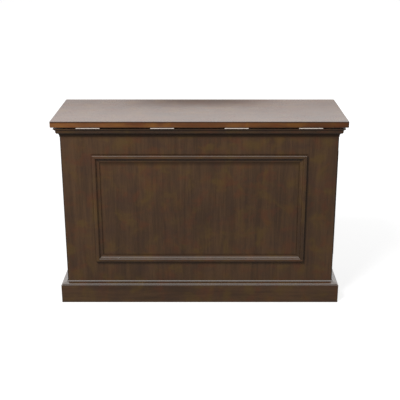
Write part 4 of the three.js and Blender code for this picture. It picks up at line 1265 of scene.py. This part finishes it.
class CABINET_OT_drive_details(bpy.types.Operator):
    """Fittings of the gear motor and the control box, and the thread of the lower screw"""

    bl_idname = "cabinet.drive_details"
    bl_label = "Drive details"

    def execute(self, context):
        self.dress_motor()
        self.dress_control_box()
        self.thread_screws()
        return {"FINISHED"}

    def dress_motor(self):
        axis = (GEARBOX_REAR + GEARBOX_FRONT) / 2
        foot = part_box("gear_motor")[0].z + GEARBOX_HEIGHT
        profile = mirrored([(MOTOR_RADIUS + proud, -height) for proud, height in BAND])
        shape = bmesh.new()
        for height in BAND_HEIGHTS:
            add_ring(shape, (0, axis, foot + height), UP, profile)
        piece(shape, "motor_bands", "cabinet", "screw_steel")
        shape = bmesh.new()
        for number in range(FIN_COUNT):
            angle = 2 * math.pi * number / FIN_COUNT
            reach = Vector((math.cos(angle), math.sin(angle), 0)) * (MOTOR_RADIUS + FIN_PROUD)
            made = add_block(shape, -FIN, FIN)
            place = Matrix.Translation(Vector((0, axis, foot + FIN_MIDDLE)) + reach)
            turn = Matrix.Rotation(angle, 4, "Z")
            bmesh.ops.transform(shape, matrix=place @ turn, verts=made)
        ease(shape, FIN_EDGE, 1)
        piece(shape, "motor_fins", "cabinet", "black_plastic")
        rows = (GEARBOX_REAR + GEARBOX_BOLT_INSET, GEARBOX_FRONT - GEARBOX_BOLT_INSET)
        spots = [(x, y, foot) for x in (-GEARBOX_BOLT_X, GEARBOX_BOLT_X) for y in rows]
        fastened("gearbox_bolts", socket_pattern(**GEARBOX_BOLT), spots, "cabinet")

    def dress_control_box(self):
        low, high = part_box("control_box")
        face = high.y + COVER_PROUD
        screw = screw_pattern(**COVER_SCREW)
        self.cover(low, high)
        across = (low.x + COVER_SCREW_INSET, high.x - COVER_SCREW_INSET)
        rows = (low.z + COVER_SCREW_INSET, high.z - COVER_SCREW_INSET)
        spots = [(x, face, z) for x in across for z in rows]
        fastened("control_cover_screws", screw, spots, "cabinet", TO_FRONT)
        self.add_sockets(low, high)

        wall = low.y - EAR_SUNK
        out = wall + EAR_THICKNESS
        middle = (low.z + high.z) / 2
        under, over = middle - EAR_HALF, middle + EAR_HALF
        ears = [
            ((low.x - EAR_OUTWARD, wall, under), (low.x + EAR_INWARD, out, over)),
            ((high.x - EAR_INWARD, wall, under), (high.x + EAR_OUTWARD, out, over)),
        ]
        eased_blocks("control_box_ears", "cabinet", "black_plastic", ears, COVER_EDGE)
        spots = [(low.x - EAR_SCREW, out, middle), (high.x + EAR_SCREW, out, middle)]
        fastened("control_ear_screws", screw, spots, "cabinet", TO_FRONT)

        shape = bmesh.new()
        spot = (high.x - LAMP_INSET, face, high.z - LAMP_INSET)
        add_ring(shape, spot, TO_FRONT, list(LAMP), 20)
        bmesh.ops.remove_doubles(shape, verts=shape.verts, dist=1e-6)
        bmesh.ops.recalc_face_normals(shape, faces=shape.faces)
        piece(shape, "control_box_lamp", "cabinet", "nylon")

    def cover(self, low, high):
        """The cover of the control box, with slats that keep the dust out."""
        face = high.y
        shape = bmesh.new()
        start = (low.x + COVER_INSET, face - COVER_SUNK, low.z + COVER_INSET)
        end = (high.x - COVER_INSET, face + COVER_PROUD, high.z - COVER_INSET)
        add_block(shape, start, end)
        ease(shape, COVER_EDGE)
        for row in range(SLATS):
            z = high.z - FIRST_SLAT - SLAT_SPACING * row
            start = (low.x + SLAT_LEFT, face + SLAT_FOOT, z - SLAT_HALF)
            end = (low.x + SLAT_RIGHT, face + SLAT_PROUD, z + SLAT_HALF)
            made = set(add_block(shape, start, end))
            edges = [e for e in shape.edges if e.verts[0] in made and e.verts[1] in made]
            round_edges(shape, edges, SLAT_EDGE, 2)
        piece(shape, "control_box_cover", "cabinet", "black_plastic")

    def add_sockets(self, low, high):
        """Open sockets for plugs on the under side of the control box."""
        shape = bmesh.new()
        for number in range(SOCKETS):
            x = low.x + FIRST_SOCKET + SOCKET_SPACING * number
            start = (x - SOCKET_HALF, low.y + SOCKET_REAR, low.z - SOCKET_HEIGHT)
            end = (x + SOCKET_HALF, high.y - SOCKET_FRONT, low.z)
            made = add_block(shape, start, end)
            under = list({f for v in made for f in v.link_faces if f.normal.z < -LEVEL})
            bmesh.ops.inset_region(shape, faces=under, thickness=SOCKET_WALL)
            sink(shape, under, SOCKET_DEPTH)
        piece(shape, "control_box_sockets", "cabinet", "black_plastic")

    def thread_screws(self):
        low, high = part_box("lower_screw")
        centre = ((low.x + high.x) / 2, (low.y + high.y) / 2)
        shape = threaded_rod(centre, low.z, high.z, THREAD_CREST, THREAD_ROOT)
        piece(shape, "lower_screw_threaded", "lower_screw", "screw_steel", replaces=["lower_screw"])


class CABINET_PT_build(bpy.types.Panel):
    """The steps that build the cabinet"""

    bl_idname = "CABINET_PT_build"
    bl_label = "Cabinet"
    bl_space_type = "VIEW_3D"
    bl_region_type = "UI"
    bl_category = "Cabinet"

    def draw(self, context):
        for group, kind in SETTINGS.items():
            box = self.layout.box()
            for name in kind.__annotations__:
                box.prop(getattr(context.scene, group), name)
        for operator in OPERATORS:
            self.layout.operator(operator.bl_idname)


OPERATORS = (
    CABINET_OT_stage,
    CABINET_OT_panels,
    CABINET_OT_mouldings,
    CABINET_OT_lid,
    CABINET_OT_hinges,
    CABINET_OT_lift,
    CABINET_OT_column_details,
    CABINET_OT_carriage_details,
    CABINET_OT_drive_details,
)
SETTINGS = {
    "cabinet_wood": CabinetWoodSettings,
    "cabinet_colours": CabinetColourSettings,
    "cabinet_stage": CabinetStageSettings,
}


def register():
    for group in SETTINGS.values():
        bpy.utils.register_class(group)
    for name, group in SETTINGS.items():
        setattr(bpy.types.Scene, name, bpy.props.PointerProperty(type=group))
    for operator in OPERATORS:
        bpy.utils.register_class(operator)
    bpy.utils.register_class(CABINET_PT_build)


def unregister():
    bpy.utils.unregister_class(CABINET_PT_build)
    for operator in reversed(OPERATORS):
        bpy.utils.unregister_class(operator)
    for name in SETTINGS:
        delattr(bpy.types.Scene, name)
    for group in reversed(SETTINGS.values()):
        bpy.utils.unregister_class(group)


def main():
    register()
    for operator in OPERATORS:
        group, name = operator.bl_idname.split(".")
        getattr(getattr(bpy.ops, group), name)()


if __name__ == "__main__":
    main()
